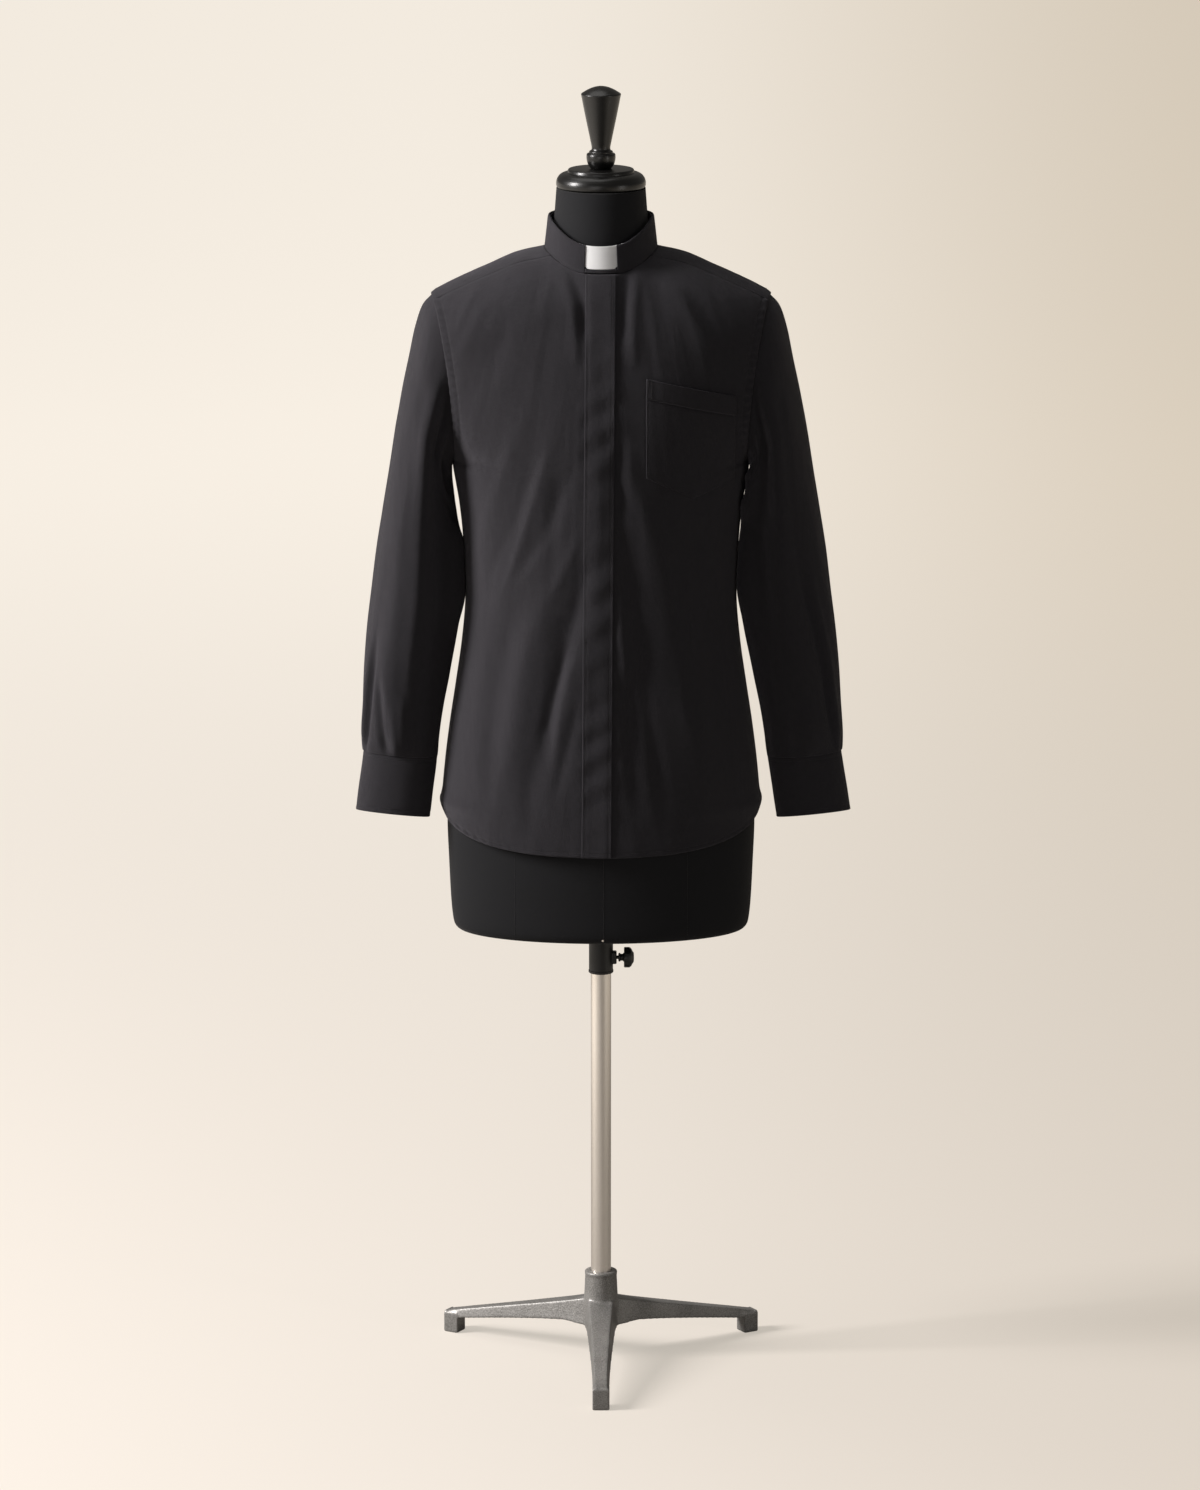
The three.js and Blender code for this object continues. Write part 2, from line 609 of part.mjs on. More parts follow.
// ---------- sleeves and cuffs ----------
// Point of a tube at a row (or between two rows) and an angle round it, 0 at its top or outer edge.
function tubePoint(table, side, row, angle) {
  const rows = table.map((entry, i) => ({ ...entry, i }));
  const value = (column) => tableValue(rows, "i", row, column);
  const outer = new THREE.Vector3(value("outX"), 0, value("outZ"));
  const inner = new THREE.Vector3(value("inX"), 0, value("inZ"));
  const middle = outer.clone().add(inner).multiplyScalar(0.5);
  const reach = outer.clone().sub(inner).multiplyScalar(0.5);
  const oval = middle.addScaledVector(reach, Math.cos(angle));
  oval.y = value("y") - value("depth") * Math.sin(angle);
  oval.x *= side;
  return oval;
}

function armholePoint(side, angle, gap) {
  const z = armMiddleZ + armHalfZ * Math.cos(angle);
  const face = Math.sin(angle) > 0 ? "front" : "back";
  const x = sideX(face, z);
  const depth = ARM_DEPTH[face] * armOpening(z) * shoulderRound(face, x, z);
  return new THREE.Vector3(side * (x + gap), FACES[face] * depth, z);
}

function sleevePoint(side, row, angle) {
  const oval = tubePoint(SLEEVE, side, row, angle);
  const hole = armholePoint(side, angle, SLEEVE_GAP);
  const start = tubePoint(SLEEVE, side, 0, angle);
  const keep = 1 - smooth(row / SLEEVE_SHAPED);
  return oval.addScaledVector(hole.sub(start), keep);
}

function sleeveFold(row, angle) {
  let height = 0;
  for (const fold of SLEEVE_FOLDS) {
    const turn = ((((angle * 180) / Math.PI - fold.around) % 360) + 540) % 360 - 180;
    const fade = smooth((row - fold.from) / 2.5) * smooth((fold.to + 1 - row) / 2.5);
    height += fold.rise * fade * Math.exp(-((turn / fold.spread) ** 2));
  }
  return height;
}

// Points of a tube, moved out by its folds and a lift; a square start keeps its first ring upright.
function tubeGrid(rowCount, lastRow, at, lift, fold, squareStart = false) {
  return range(rowCount + 1).map((i) => {
    const row = (lastRow * i) / rowCount;
    return range(ARM_POINTS).map((k) => {
      const angle = (2 * Math.PI * k) / ARM_POINTS;
      const turn = 0.02;
      const alongAngle = at(row, angle + turn).sub(at(row, angle - turn));
      const alongRow = at(Math.min(row + 0.1, lastRow), angle).sub(at(Math.max(row - 0.1, 0), angle));
      const out = alongAngle.cross(alongRow).normalize();
      const centre = at(row, angle).add(at(row, angle + Math.PI)).multiplyScalar(0.5);
      const point = at(row, angle);
      if (out.dot(point.clone().sub(centre)) < 0) out.negate();
      if (squareStart && i === 0) out.setX(0).normalize();
      return point.addScaledVector(out, fold(row, angle) + lift);
    });
  });
}

const SLEEVE_RINGS = 14;
function sleeve(side) {
  const at = (row, angle) => sleevePoint(side, row, angle);
  const last = SLEEVE.length - 1;
  const outer = tubeGrid(SLEEVE_RINGS, last, at, 0, sleeveFold, true);
  const inner = tubeGrid(SLEEVE_RINGS, last, at, -CLOTH, sleeveFold, true);
  return wallGeometry(outer, inner, true);
}

const noFold = () => 0;
function cuff(side) {
  const at = (row, angle) => tubePoint(CUFF, side, row, angle);
  const last = CUFF.length - 1;
  return wallGeometry(tubeGrid(2, last, at, 0, noFold), tubeGrid(2, last, at, -CUFF_WALL, noFold), true);
}

// A small round piece standing on a place of a tube.
function buttonOn(side) {
  const row = CUFF_BUTTON.down * (CUFF.length - 1);
  const angle = radians(CUFF_BUTTON.around);
  const at = (turn) => tubePoint(CUFF, side, row, angle + turn);
  const along = at(0.05).sub(at(-0.05));
  const down = tubePoint(CUFF, side, row + 0.2, angle).sub(tubePoint(CUFF, side, row - 0.2, angle));
  const out = along.cross(down).normalize();
  const point = at(0);
  if (out.y < 0) out.negate();
  const disc = new THREE.CylinderGeometry(CUFF_BUTTON.radius, CUFF_BUTTON.radius, CUFF_BUTTON.height, 16);
  const turn = new THREE.Quaternion().setFromUnitVectors(new THREE.Vector3(0, 1, 0), out);
  const lift = CUFF_BUTTON.height / 2 + LAID_GAP;
  const place = point.addScaledVector(out, lift);
  return disc.applyQuaternion(turn).translate(place.x, place.y, place.z);
}

// Facing of the sleeve's slit: a strip that lies on the sleeve above the cuff.
const SLIT_ROWS = 6;
const SLIT_RADIUS = 48; // mean radius of the sleeve there
function sleeveSlit(side) {
  const last = SLEEVE.length - 1;
  const first = last - SLIT.rows;
  const grid = (lift) =>
    range(SLIT_ROWS + 1).map((i) =>
      range(4).map((k) => {
        const row = lerp(first, last - 0.06, i / SLIT_ROWS);
        const angle = radians(SLIT.around) + ((k - 1.5) / 3) * (SLIT.width / SLIT_RADIUS);
        const at = (r, a) => sleevePoint(side, r, a);
        const along = at(row, angle + 0.02).sub(at(row, angle - 0.02));
        const down = at(row, angle).sub(at(row - 0.1, angle));
        const out = along.cross(down).normalize();
        if (out.y < 0) out.negate();
        return at(row, angle).addScaledVector(out, sleeveFold(row, angle) + lift);
      }),
    );
  return wallGeometry(grid(LAID_GAP + 0.3 + TRIM), grid(LAID_GAP + 0.3));
}

// ---------- collar ----------
const collarHeight = (angle) => {
  const forward = Math.cos(angle);
  return forward > 0
    ? lerp(COLLAR.side, COLLAR.front, forward ** 1.5)
    : lerp(COLLAR.side, COLLAR.back, -forward);
};

// Point of the collar at an angle round the neck (0 in front) and a share of its height, set in by a depth.
function collarPoint(angle, share, inwards) {
  const low = neckPlan(angle);
  const lowZ = necklineW(angle).z + COLLAR_LIFT;
  const topDepth = Math.cos(angle) > 0 ? COLLAR_TOP.front : COLLAR_TOP.back;
  const top = { x: COLLAR_TOP.side * Math.sin(angle), y: -topDepth * Math.cos(angle) };
  const x = lerp(low.x, top.x, share);
  const y = lerp(low.y, top.y, share);
  const out = new THREE.Vector3(Math.sin(angle) / NECK.side, -Math.cos(angle) / NECK.front, 0).normalize();
  const z = lowZ + collarHeight(angle) * share;
  return new THREE.Vector3(x, y, z).addScaledVector(out, -inwards);
}

function collarWall(angles, shares, inwards, wall, loop = false) {
  const line = (share, depth) => angles.map((angle) => collarPoint(angle, share, depth(angle)));
  const grid = (depth) => shares.map((share) => line(share, depth));
  return wallGeometry(grid(inwards), grid((angle) => inwards(angle) + wall), loop);
}

const spread = (from, to, steps) => range(steps + 1).map((i) => lerp(from, to, i / steps));
const windowAngle = neckAngleAtX(WINDOW_HALF_X);

const collarOuter = () => {
  const angles = spread(windowAngle, 2 * Math.PI - windowAngle, COLLAR_STEPS - 4);
  return collarWall(angles, [0, 0.35, 0.7, 1], () => 0, TRIM);
};

const collarBand = () => {
  const angles = range(COLLAR_STEPS).map((i) => (2 * Math.PI * i) / COLLAR_STEPS);
  return collarWall(angles, [0.01, 0.5, 0.96], () => LAYER.band, TRIM, true);
};

const collarStrip = () => {
  const end = windowAngle - 0.012;
  return collarWall(spread(-end, end, 6), [0.03, 0.14], () => 0.1, TRIM);
};

const collarTab = () => {
  const end = neckAngleAtX(TAB.half);
  const inside = (angle) => smooth((windowAngle - Math.abs(angle)) / (0.35 * windowAngle));
  const depth = (angle) => LAYER.tab - TAB_BOW * inside(angle);
  const shown = spread(-0.8 * windowAngle, 0.8 * windowAngle, 8);
  const angles = [-end, -windowAngle, ...shown, windowAngle, end];
  return collarWall(angles, [TAB.lower, 0.45, 0.75, TAB.upper], depth, TAB.wall);
};

// ---------- placket and pocket ----------
function placket() {
  const heights = rowHeights("front", 0, PLACKET.top - SEAM_GAP, 1);
  const grid = (lift) =>
    heights.map((z) =>
      range(5).map((k) => {
        const x = placketX(z) + lerp(-PLACKET.half, PLACKET.half, k / 4);
        return bodyPointAtX("front", x, z, lift);
      }),
    );
  return wallGeometry(grid(LAID_GAP + TRIM), grid(LAID_GAP));
}

const POCKET_COLUMNS = 8;
const POCKET_ROWS = 8;
function pocket() {
  const { corner, topLeft, topRight, bottomLeft, bottomRight, point } = POCKET;
  const bottomZ = (u) =>
    u < point.along
      ? lerp(bottomLeft, point.z, u / point.along)
      : lerp(point.z, bottomRight, (u - point.along) / (1 - point.along));
  const grid = (lift) =>
    range(POCKET_ROWS + 1).map((row) =>
      range(POCKET_COLUMNS + 1).map((column) => {
        const u = column / POCKET_COLUMNS;
        const z = lerp(bottomZ(u), lerp(topLeft, topRight, u), row / POCKET_ROWS);
        return bodyPointAtX("front", lerp(corner.left, corner.right, u), z, lift);
      }),
    );
  return wallGeometry(grid(LAID_GAP + 0.3 + TRIM), grid(LAID_GAP + 0.3));
}

// ---------- dress form ----------
function formRing(section, z, roundOver) {
  return range(FORM_POINTS).map((k) => {
    const angle = (2 * Math.PI * k) / FORM_POINTS;
    const x = section.side * Math.sin(angle);
    const face = Math.cos(angle) > 0 ? "front" : "back";
    const cap = roundOver ? shoulderRound(face, x, z, ridgeZ(x) - FORM_INSET) : 1;
    return new THREE.Vector3(x, -section[face] * Math.cos(angle) * cap, z);
  });
}

// Half width of the form where a level plane cuts its shoulders.
function crownHalfWidth(z) {
  let low = 0;
  let high = 198;
  for (const _ of range(30)) {
    const middle = (low + high) / 2;
    if (ridgeZ(middle) - FORM_INSET > z) low = middle;
    else high = middle;
  }
  return low;
}

function form() {
  const trunk = FORM.map((row) => formRing(row, row.z, row.z > 1240));
  const crown = FORM_CROWN.map((z) => {
    const depth = (face) => tableValue(SHIRT, "z", z, face) - FORM_INSET;
    return formRing({ side: crownHalfWidth(z), front: depth("front"), back: depth("back") }, z, true);
  });
  const neck = FORM_NECK.map((row) => formRing(row, row.z, false));
  const bore = new THREE.CylinderGeometry(POLE_RADIUS + POLE_FIT, POLE_RADIUS + POLE_FIT, 700, 24);
  bore.rotateX(Math.PI / 2).translate(0, 0, FORM_BORE_TOP - 350);
  const body = toManifold(ringSolid([...trunk, ...crown])).add(toManifold(ringSolid(neck)));
  return fromManifold(body.subtract(toManifold(bore)));
}

// ---------- turned pieces ----------
function turned(profile, segments = 24) {
  const points = profile.map(([r, z]) => new THREE.Vector2(r, z));
  return new THREE.LatheGeometry(points, segments).rotateX(Math.PI / 2);
}

const neckCap = () =>
  turned([
    [0, NECK_TOP_Z + 0.3],
    [50.8, NECK_TOP_Z + 0.3],
    [52.8, 1470.5],
    [54, 1476],
    [53.6, 1482],
    [51.2, 1487],
    [46.6, 1490.6],
    [40.4, 1491.8],
    [39.8, 1494.8],
    [38.4, 1496.2],
    [0, 1496.2],
  ]);

const finial = () =>
  turned([
    [0, 1496.5],
    [13.2, 1496.5],
    [15.6, 1499.4],
    [17.8, 1503.4],
    [18.3, 1508.4],
    [17.8, 1513.2],
    [15.2, 1514.8],
    [14.4, 1517.4],
    [12.7, 1519.6],
    [13, 1524],
    [16, 1539],
    [20.6, 1562],
    [24.4, 1580.6],
    [24.8, 1583.2],
    [23, 1586.6],
    [16.4, 1591.8],
    [8, 1595.2],
    [0, 1596.2],
  ], 20);

const pole = () => {
  const tube = new THREE.CylinderGeometry(POLE_RADIUS, POLE_RADIUS, POLE.top - POLE.bottom, 24);
  return tube.rotateX(Math.PI / 2).translate(0, 0, (POLE.top + POLE.bottom) / 2);
};

// ---------- base ----------
const alongLeg = (r) => (r - LEG.rootRadius) / (LEG.toe - LEG.rootRadius);
const legTopZ = (r) => lerp(LEG_TOP.root, LEG_TOP.toe, alongLeg(r));
const legUnderZ = (r) => lerp(LEG_UNDER.root, LEG_UNDER.toe, alongLeg(r));

function extruded(outline, half, edge, taper) {
  const shape = new THREE.Shape(outline.map(([r, z]) => new THREE.Vector2(r, z)));
  const settings = { depth: 2 * (half - edge), bevelThickness: edge, bevelSize: edge, bevelOffset: -edge };
  const plate = new THREE.ExtrudeGeometry(shape, { ...settings, bevelEnabled: edge > 0, bevelSegments: 2 });
  plate.translate(0, 0, edge - half).rotateX(Math.PI / 2);
  const at = plate.attributes.position;
  for (const i of range(at.count)) at.setY(i, at.getY(i) * taper(at.getX(i)));
  return plate;
}

function leg() {
  const foot = LEG.toe - LEG.footLength;
  const step = foot - LEG.footStep;
  const narrowing = LEG.toeHalf / LEG.rootHalf;
  const taper = (r) => lerp(1.1, narrowing, clamp((r - LEG.rootRadius) / (foot - LEG.rootRadius), 0, 1));
  const outline = [
    [LEG.rootRadius, 44],
    [30, 46],
    [60, legUnderZ(60)],
    [step, legUnderZ(step)],
    [foot - 1, legUnderZ(foot)],
    [foot + 2, 9],
    [foot + 2, 0],
    [LEG.toe, 0],
    [LEG.toe - 2, 20],
    [LEG.toe - 6, legTopZ(LEG.toe - 6)],
    [60, legTopZ(60) + 0.6],
    [LEG.rootRadius, LEG_TOP.root + 1],
  ];
  const channel = [
    [28, 0],
    [foot - 3, 0],
    [foot - 3, legTopZ(foot) - LEG_WALL],
    [28, legTopZ(28) - LEG_WALL - 2],
  ];
  const solid = toManifold(extruded(outline, LEG.rootHalf, LEG.edge, taper));
  return solid.subtract(toManifold(extruded(channel, LEG.rootHalf - LEG_WALL, 0, taper)));
}

function base() {
  const hub = turned([
    [0, HUB.bottom],
    [HUB.skirtRadius - 4, HUB.bottom],
    [HUB.skirtRadius, HUB.bottom + 4],
    [HUB.skirtRadius, HUB.waistZ - 3],
    [HUB.waistRadius + 0.4, HUB.waistZ],
    [HUB.waistRadius, HUB.waistZ + 4],
    [HUB.topRadius, HUB.top - 3],
    [HUB.topRadius - 1.6, HUB.top],
    [POLE_RADIUS + POLE_FIT, HUB.top],
    [POLE_RADIUS + POLE_FIT, POLE.bottom - SEAM_GAP],
    [0, POLE.bottom - SEAM_GAP],
  ], 36);
  const bore = new THREE.CylinderGeometry(POLE_RADIUS + POLE_FIT, POLE_RADIUS + POLE_FIT, 100, 36);
  bore.rotateX(Math.PI / 2).translate(0, 0, POLE.bottom - SEAM_GAP + 50);
  let casting = toManifold(hub);
  for (const turn of [-90, 30, 150]) {
    casting = casting.add(leg().rotate([0, 0, turn]));
  }
  return fromManifold(casting.subtract(toManifold(bore)));
}

// ---------- socket and clamp screw ----------
const alongX = (geometry) => geometry.rotateY(Math.PI / 2);

function socket() {
  const inner = POLE_RADIUS + POLE_FIT;
  const tube = turned([
    [inner, SOCKET.bottom],
    [SOCKET.radius - 0.6, SOCKET.bottom],
    [SOCKET.radius, SOCKET.bottom + 1.6],
    [SOCKET.radius, FORM_BASE_Z - SEAM_GAP],
    [inner, FORM_BASE_Z - SEAM_GAP],
    [inner, SOCKET.bottom],
  ]);
  const rod = (radius, from, to) => {
    const piece = alongX(turned([[0, from], [radius, from], [radius, to], [0, to]], 20));
    return toManifold(piece.translate(0, 0, SCREW_Z));
  };
  const boss = rod(SOCKET.bossRadius, 13.6, SOCKET.bossEnd);
  const hole = rod(SOCKET.holeRadius, 5, 25);
  const bore = new THREE.CylinderGeometry(inner, inner, 80, 32);
  bore.rotateX(Math.PI / 2).translate(0, 0, SCREW_Z);
  return fromManifold(toManifold(tube).add(boss).subtract(hole).subtract(toManifold(bore)));
}

function clampScrew() {
  const screw = alongX(turned([
    [0, POLE_RADIUS + 0.4],
    [3, POLE_RADIUS + 0.4],
    [3, SOCKET.bossEnd - 0.5],
    [2, SOCKET.bossEnd + 0.6],
    [2, 22.6],
    [4.6, 23.4],
    [5, KNOB.start],
    [KNOB.radius - 1.4, KNOB.start],
    [KNOB.radius, KNOB.start + 1.6],
    [KNOB.radius, KNOB.start + 6.4],
    [KNOB.radius - 1.8, KNOB.start + 8.6],
    [6.4, KNOB.end - 0.8],
    [0, KNOB.end],
  ], 3 * KNOB.lobes));
  const at = screw.attributes.position;
  for (const i of range(at.count)) {
    const radius = Math.hypot(at.getY(i), at.getZ(i));
    if (radius > 0.7 * KNOB.radius) {
      const wave = Math.cos(KNOB.lobes * Math.atan2(at.getZ(i), at.getY(i)));
      const scale = (radius - KNOB.lobeDepth * (1 - wave) * 0.5) / radius;
      at.setY(i, at.getY(i) * scale);
      at.setZ(i, at.getZ(i) * scale);
    }
  }
  return screw;
}

// ---------- assembly ----------
const stand = new THREE.Group();
stand.position.set(0, AXIS_Y, 0);

function add(name, geometry, material, z = 0) {
  const mesh = new THREE.Mesh(geometry, material);
  mesh.name = name;
  mesh.position.z = z;
  stand.add(mesh);
}

add("base", base(), castGrey());
add("pole", pole(), brushedSteel());
add("socket", socket(), blackPlastic());
add("clamp_screw", clampScrew(), blackPlastic(), SCREW_Z);
add("form", form(), jersey());
add("neck_cap", neckCap(), lacquer());
add("finial", finial(), lacquer());
add("back", back(), shirting());
add("yoke", yoke(), shirting());
add("placket", placket(), shirting());
add("pocket", pocket(), shirting());
add("collar_band", collarBand(), shirting());
add("collar_outer", collarOuter(), shirting());
add("collar_strip", collarStrip(), shirting());
add("collar_tab", collarTab(), whitePlastic());
for (const [hand, side] of [["right", -1], ["left", 1]]) {
  add("front_" + hand, front(side), shirting());
  add("sleeve_" + hand, sleeve(side), shirting());
  add("sleeve_placket_" + hand, sleeveSlit(side), shirting());
  add("cuff_" + hand, cuff(side), shirting());
  add("cuff_button_" + hand, buttonOn(side), blackPlastic());
}

const group = new THREE.Group();
group.add(stand);

export default group;
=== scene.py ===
"""Looks of a clergy shirt with a tab collar, worn by a limbless dress form on a three-legged stand.

Sizes are in millimetres round the pole's axis, with +Z up and the wearer facing -Y. Each finished mesh is
written in metres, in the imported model's frame.
"""

import logging
import math
from collections.abc import Sequence
from dataclasses import dataclass, field
from enum import Enum
from functools import cache, partial

import bpy
import numpy as np
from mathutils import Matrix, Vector


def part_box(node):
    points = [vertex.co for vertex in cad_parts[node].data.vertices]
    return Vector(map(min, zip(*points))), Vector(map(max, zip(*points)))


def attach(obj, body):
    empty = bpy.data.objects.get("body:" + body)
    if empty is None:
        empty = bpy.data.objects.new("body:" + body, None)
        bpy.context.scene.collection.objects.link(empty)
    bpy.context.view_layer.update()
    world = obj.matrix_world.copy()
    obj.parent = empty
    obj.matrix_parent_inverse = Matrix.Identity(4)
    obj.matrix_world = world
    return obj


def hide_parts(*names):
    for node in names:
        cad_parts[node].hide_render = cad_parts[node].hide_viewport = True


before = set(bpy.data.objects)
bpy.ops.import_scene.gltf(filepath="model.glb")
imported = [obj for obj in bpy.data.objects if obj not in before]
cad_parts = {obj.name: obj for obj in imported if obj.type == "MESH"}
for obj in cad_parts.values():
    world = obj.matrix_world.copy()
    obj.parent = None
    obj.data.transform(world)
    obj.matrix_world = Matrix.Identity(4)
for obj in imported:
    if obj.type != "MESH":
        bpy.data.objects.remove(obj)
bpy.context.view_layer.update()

LOG = logging.getLogger("clergy_shirt")
MM = 0.001
POLE_LOW, POLE_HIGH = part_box("pole")
AXIS_Y = (POLE_LOW.y + POLE_HIGH.y) / 2 / MM
ORIGIN = np.array([0.0, AXIS_Y, 0.0])

Grid = np.ndarray
Colour = tuple[float, float, float]
Piece = bpy.types.Object
Material = bpy.types.Material


class Body(str, Enum):
    """The bodies that the joints move."""

    BASE = "stand_base"
    POLE = "stand_pole"
    FORM = "dressed_form"
    CLAMP = "clamp"


class Face(Enum):
    """The front and the back of the body, with the direction of each along Y."""

    FRONT = -1
    BACK = 1


class Hand(Enum):
    """The wearer's right and left, with the direction of each along X."""

    RIGHT = -1
    LEFT = 1

    @property
    def word(self) -> str:
        """The hand as it is written in a node's name."""
        return self.name.lower()


# ---------- numbers ----------
def lerp(a: Grid | float, b: Grid | float, t: Grid | float) -> Grid | float:
    """Returns the value a share t of the way from a to b."""
    return a + (b - a) * t


def smooth(t: Grid | float) -> Grid | float:
    """Returns 0 below 0, 1 above 1, and an even curve between them."""
    u = np.clip(t, 0, 1)
    return u * u * (3 - 2 * u)


def unit(vectors: Grid) -> Grid:
    """Returns the vectors at length 1."""
    return vectors / np.maximum(np.linalg.norm(vectors, axis=-1, keepdims=True), 1e-12)


def smooth_read(keys: Grid, values: Grid, at: Grid | float) -> Grid | float:
    """Reads a curve that passes smoothly through rows of values.

    Args:
        keys: rising places of the rows.
        values: the rows' values.
        at: where to read.

    Returns:
        The curve's value at each place, held at the ends.
    """
    last = len(keys) - 1
    row = np.clip(np.searchsorted(keys, at, side="right") - 1, 0, last - 1)
    span = keys[row + 1] - keys[row]
    t = np.clip((at - keys[row]) / span, 0, 1)
    before = np.maximum(row - 1, 0)
    after = np.minimum(row + 2, last)
    slope_in = (values[row + 1] - values[before]) / (keys[row + 1] - keys[before]) * span
    slope_out = (values[after] - values[row]) / (keys[after] - keys[row]) * span
    t2, t3 = t * t, t * t * t
    curve = (2 * t3 - 3 * t2 + 1) * values[row] + (t3 - 2 * t2 + t) * slope_in
    return curve + (3 * t2 - 2 * t3) * values[row + 1] + (t3 - t2) * slope_out


@dataclass(frozen=True)
class Table:
    """Rows of sizes under named columns; the first column is the place that the others are read at."""

    columns: tuple[str, ...]
    rows: tuple[tuple[float, ...], ...]

    def read(self, name: str, at: Grid | float) -> Grid | float:
        """Returns one column's smooth value at a place of the first column."""
        numbers = np.array(self.rows, float)
        return smooth_read(numbers[:, 0], numbers[:, self.columns.index(name)], at)


class Unevenness:
    """Smooth unevenness over a plane, the same on each run."""

    SIZE = 64

    def __init__(self, seed: int) -> None:
        """Draws the slopes at the corners of a square lattice."""
        self.slopes = unit(np.random.default_rng(seed).normal(size=(self.SIZE, self.SIZE, 2)))

    def at(self, u: Grid, v: Grid) -> Grid:
        """Returns a value of about -0.7 to 0.7 at each place, one wave for each unit."""
        iu, iv = np.floor(u).astype(int), np.floor(v).astype(int)
        fu, fv = u - iu, v - iv

        def corner(du: int, dv: int) -> Grid:
            """Returns what one corner of the cell gives."""
            slope = self.slopes[(iu + du) % self.SIZE, (iv + dv) % self.SIZE]
            return slope[..., 0] * (fu - du) + slope[..., 1] * (fv - dv)

        low = lerp(corner(0, 0), corner(1, 0), smooth(fu))
        high = lerp(corner(0, 1), corner(1, 1), smooth(fu))
        return lerp(low, high, smooth(fv))


def joined(*values: Grid | float) -> Grid:
    """Joins values, such as x, y and z, to one row for each place."""
    return np.stack(np.broadcast_arrays(*values), axis=-1)


def upright(points: Grid) -> Grid:
    """Returns the place on the pole's axis that is level with each point."""
    return points * np.array([0, 0, 1.0])


def spaced(length: float, step: float) -> Grid:
    """Returns even places from 0 to 1, about a step apart on a stretch of that length."""
    return np.linspace(0, 1, max(2, round(length / step)) + 1)


# ---------- meshes ----------
def grid_normals(points: Grid, loop: bool, centre: Grid) -> Grid:
    """Works out the outward direction at each point of a grid.

    Args:
        points: rows and columns of points.
        loop: whether the last column meets the first.
        centre: a point, or one for each row, that the directions lead away from.

    Returns:
        A direction of length 1 for each point.
    """
    if loop:
        wide = np.concatenate([points[:, -1:], points, points[:, :1]], axis=1)
        along = wide[:, 2:] - wide[:, :-2]
    else:
        along = np.gradient(points, axis=1)
    normals = unit(np.cross(along, np.gradient(points, axis=0)))
    away = points - centre
    if np.sum(normals * away) < 0:
        normals = -normals
    return normals


def write_mesh(name: str, points: Grid, faces: Sequence, uv: Grid | None = None) -> Piece:
    """Writes points in millimetres and faces as a new smooth object in the frame's metres.

    Args:
        name: the piece's name.
        points: one row for each vertex.
        faces: the vertices of each face.
        uv: cloth coordinates in metres, one row for each vertex.

    Returns:
        The new object, at the origin.
    """
    mesh = bpy.data.meshes.new(name)
    mesh.from_pydata(((points + ORIGIN) * MM).tolist(), [], faces)
    mesh.update()
    if uv is not None:
        corners = np.zeros(len(mesh.loops), int)
        mesh.loops.foreach_get("vertex_index", corners)
        layer = mesh.uv_layers.new(name="UVMap")
        layer.data.foreach_set("uv", uv[corners].astype(np.float32).ravel())
    mesh.polygons.foreach_set("use_smooth", [True] * len(mesh.polygons))
    piece = bpy.data.objects.new(name, mesh)
    bpy.context.scene.collection.objects.link(piece)
    return piece


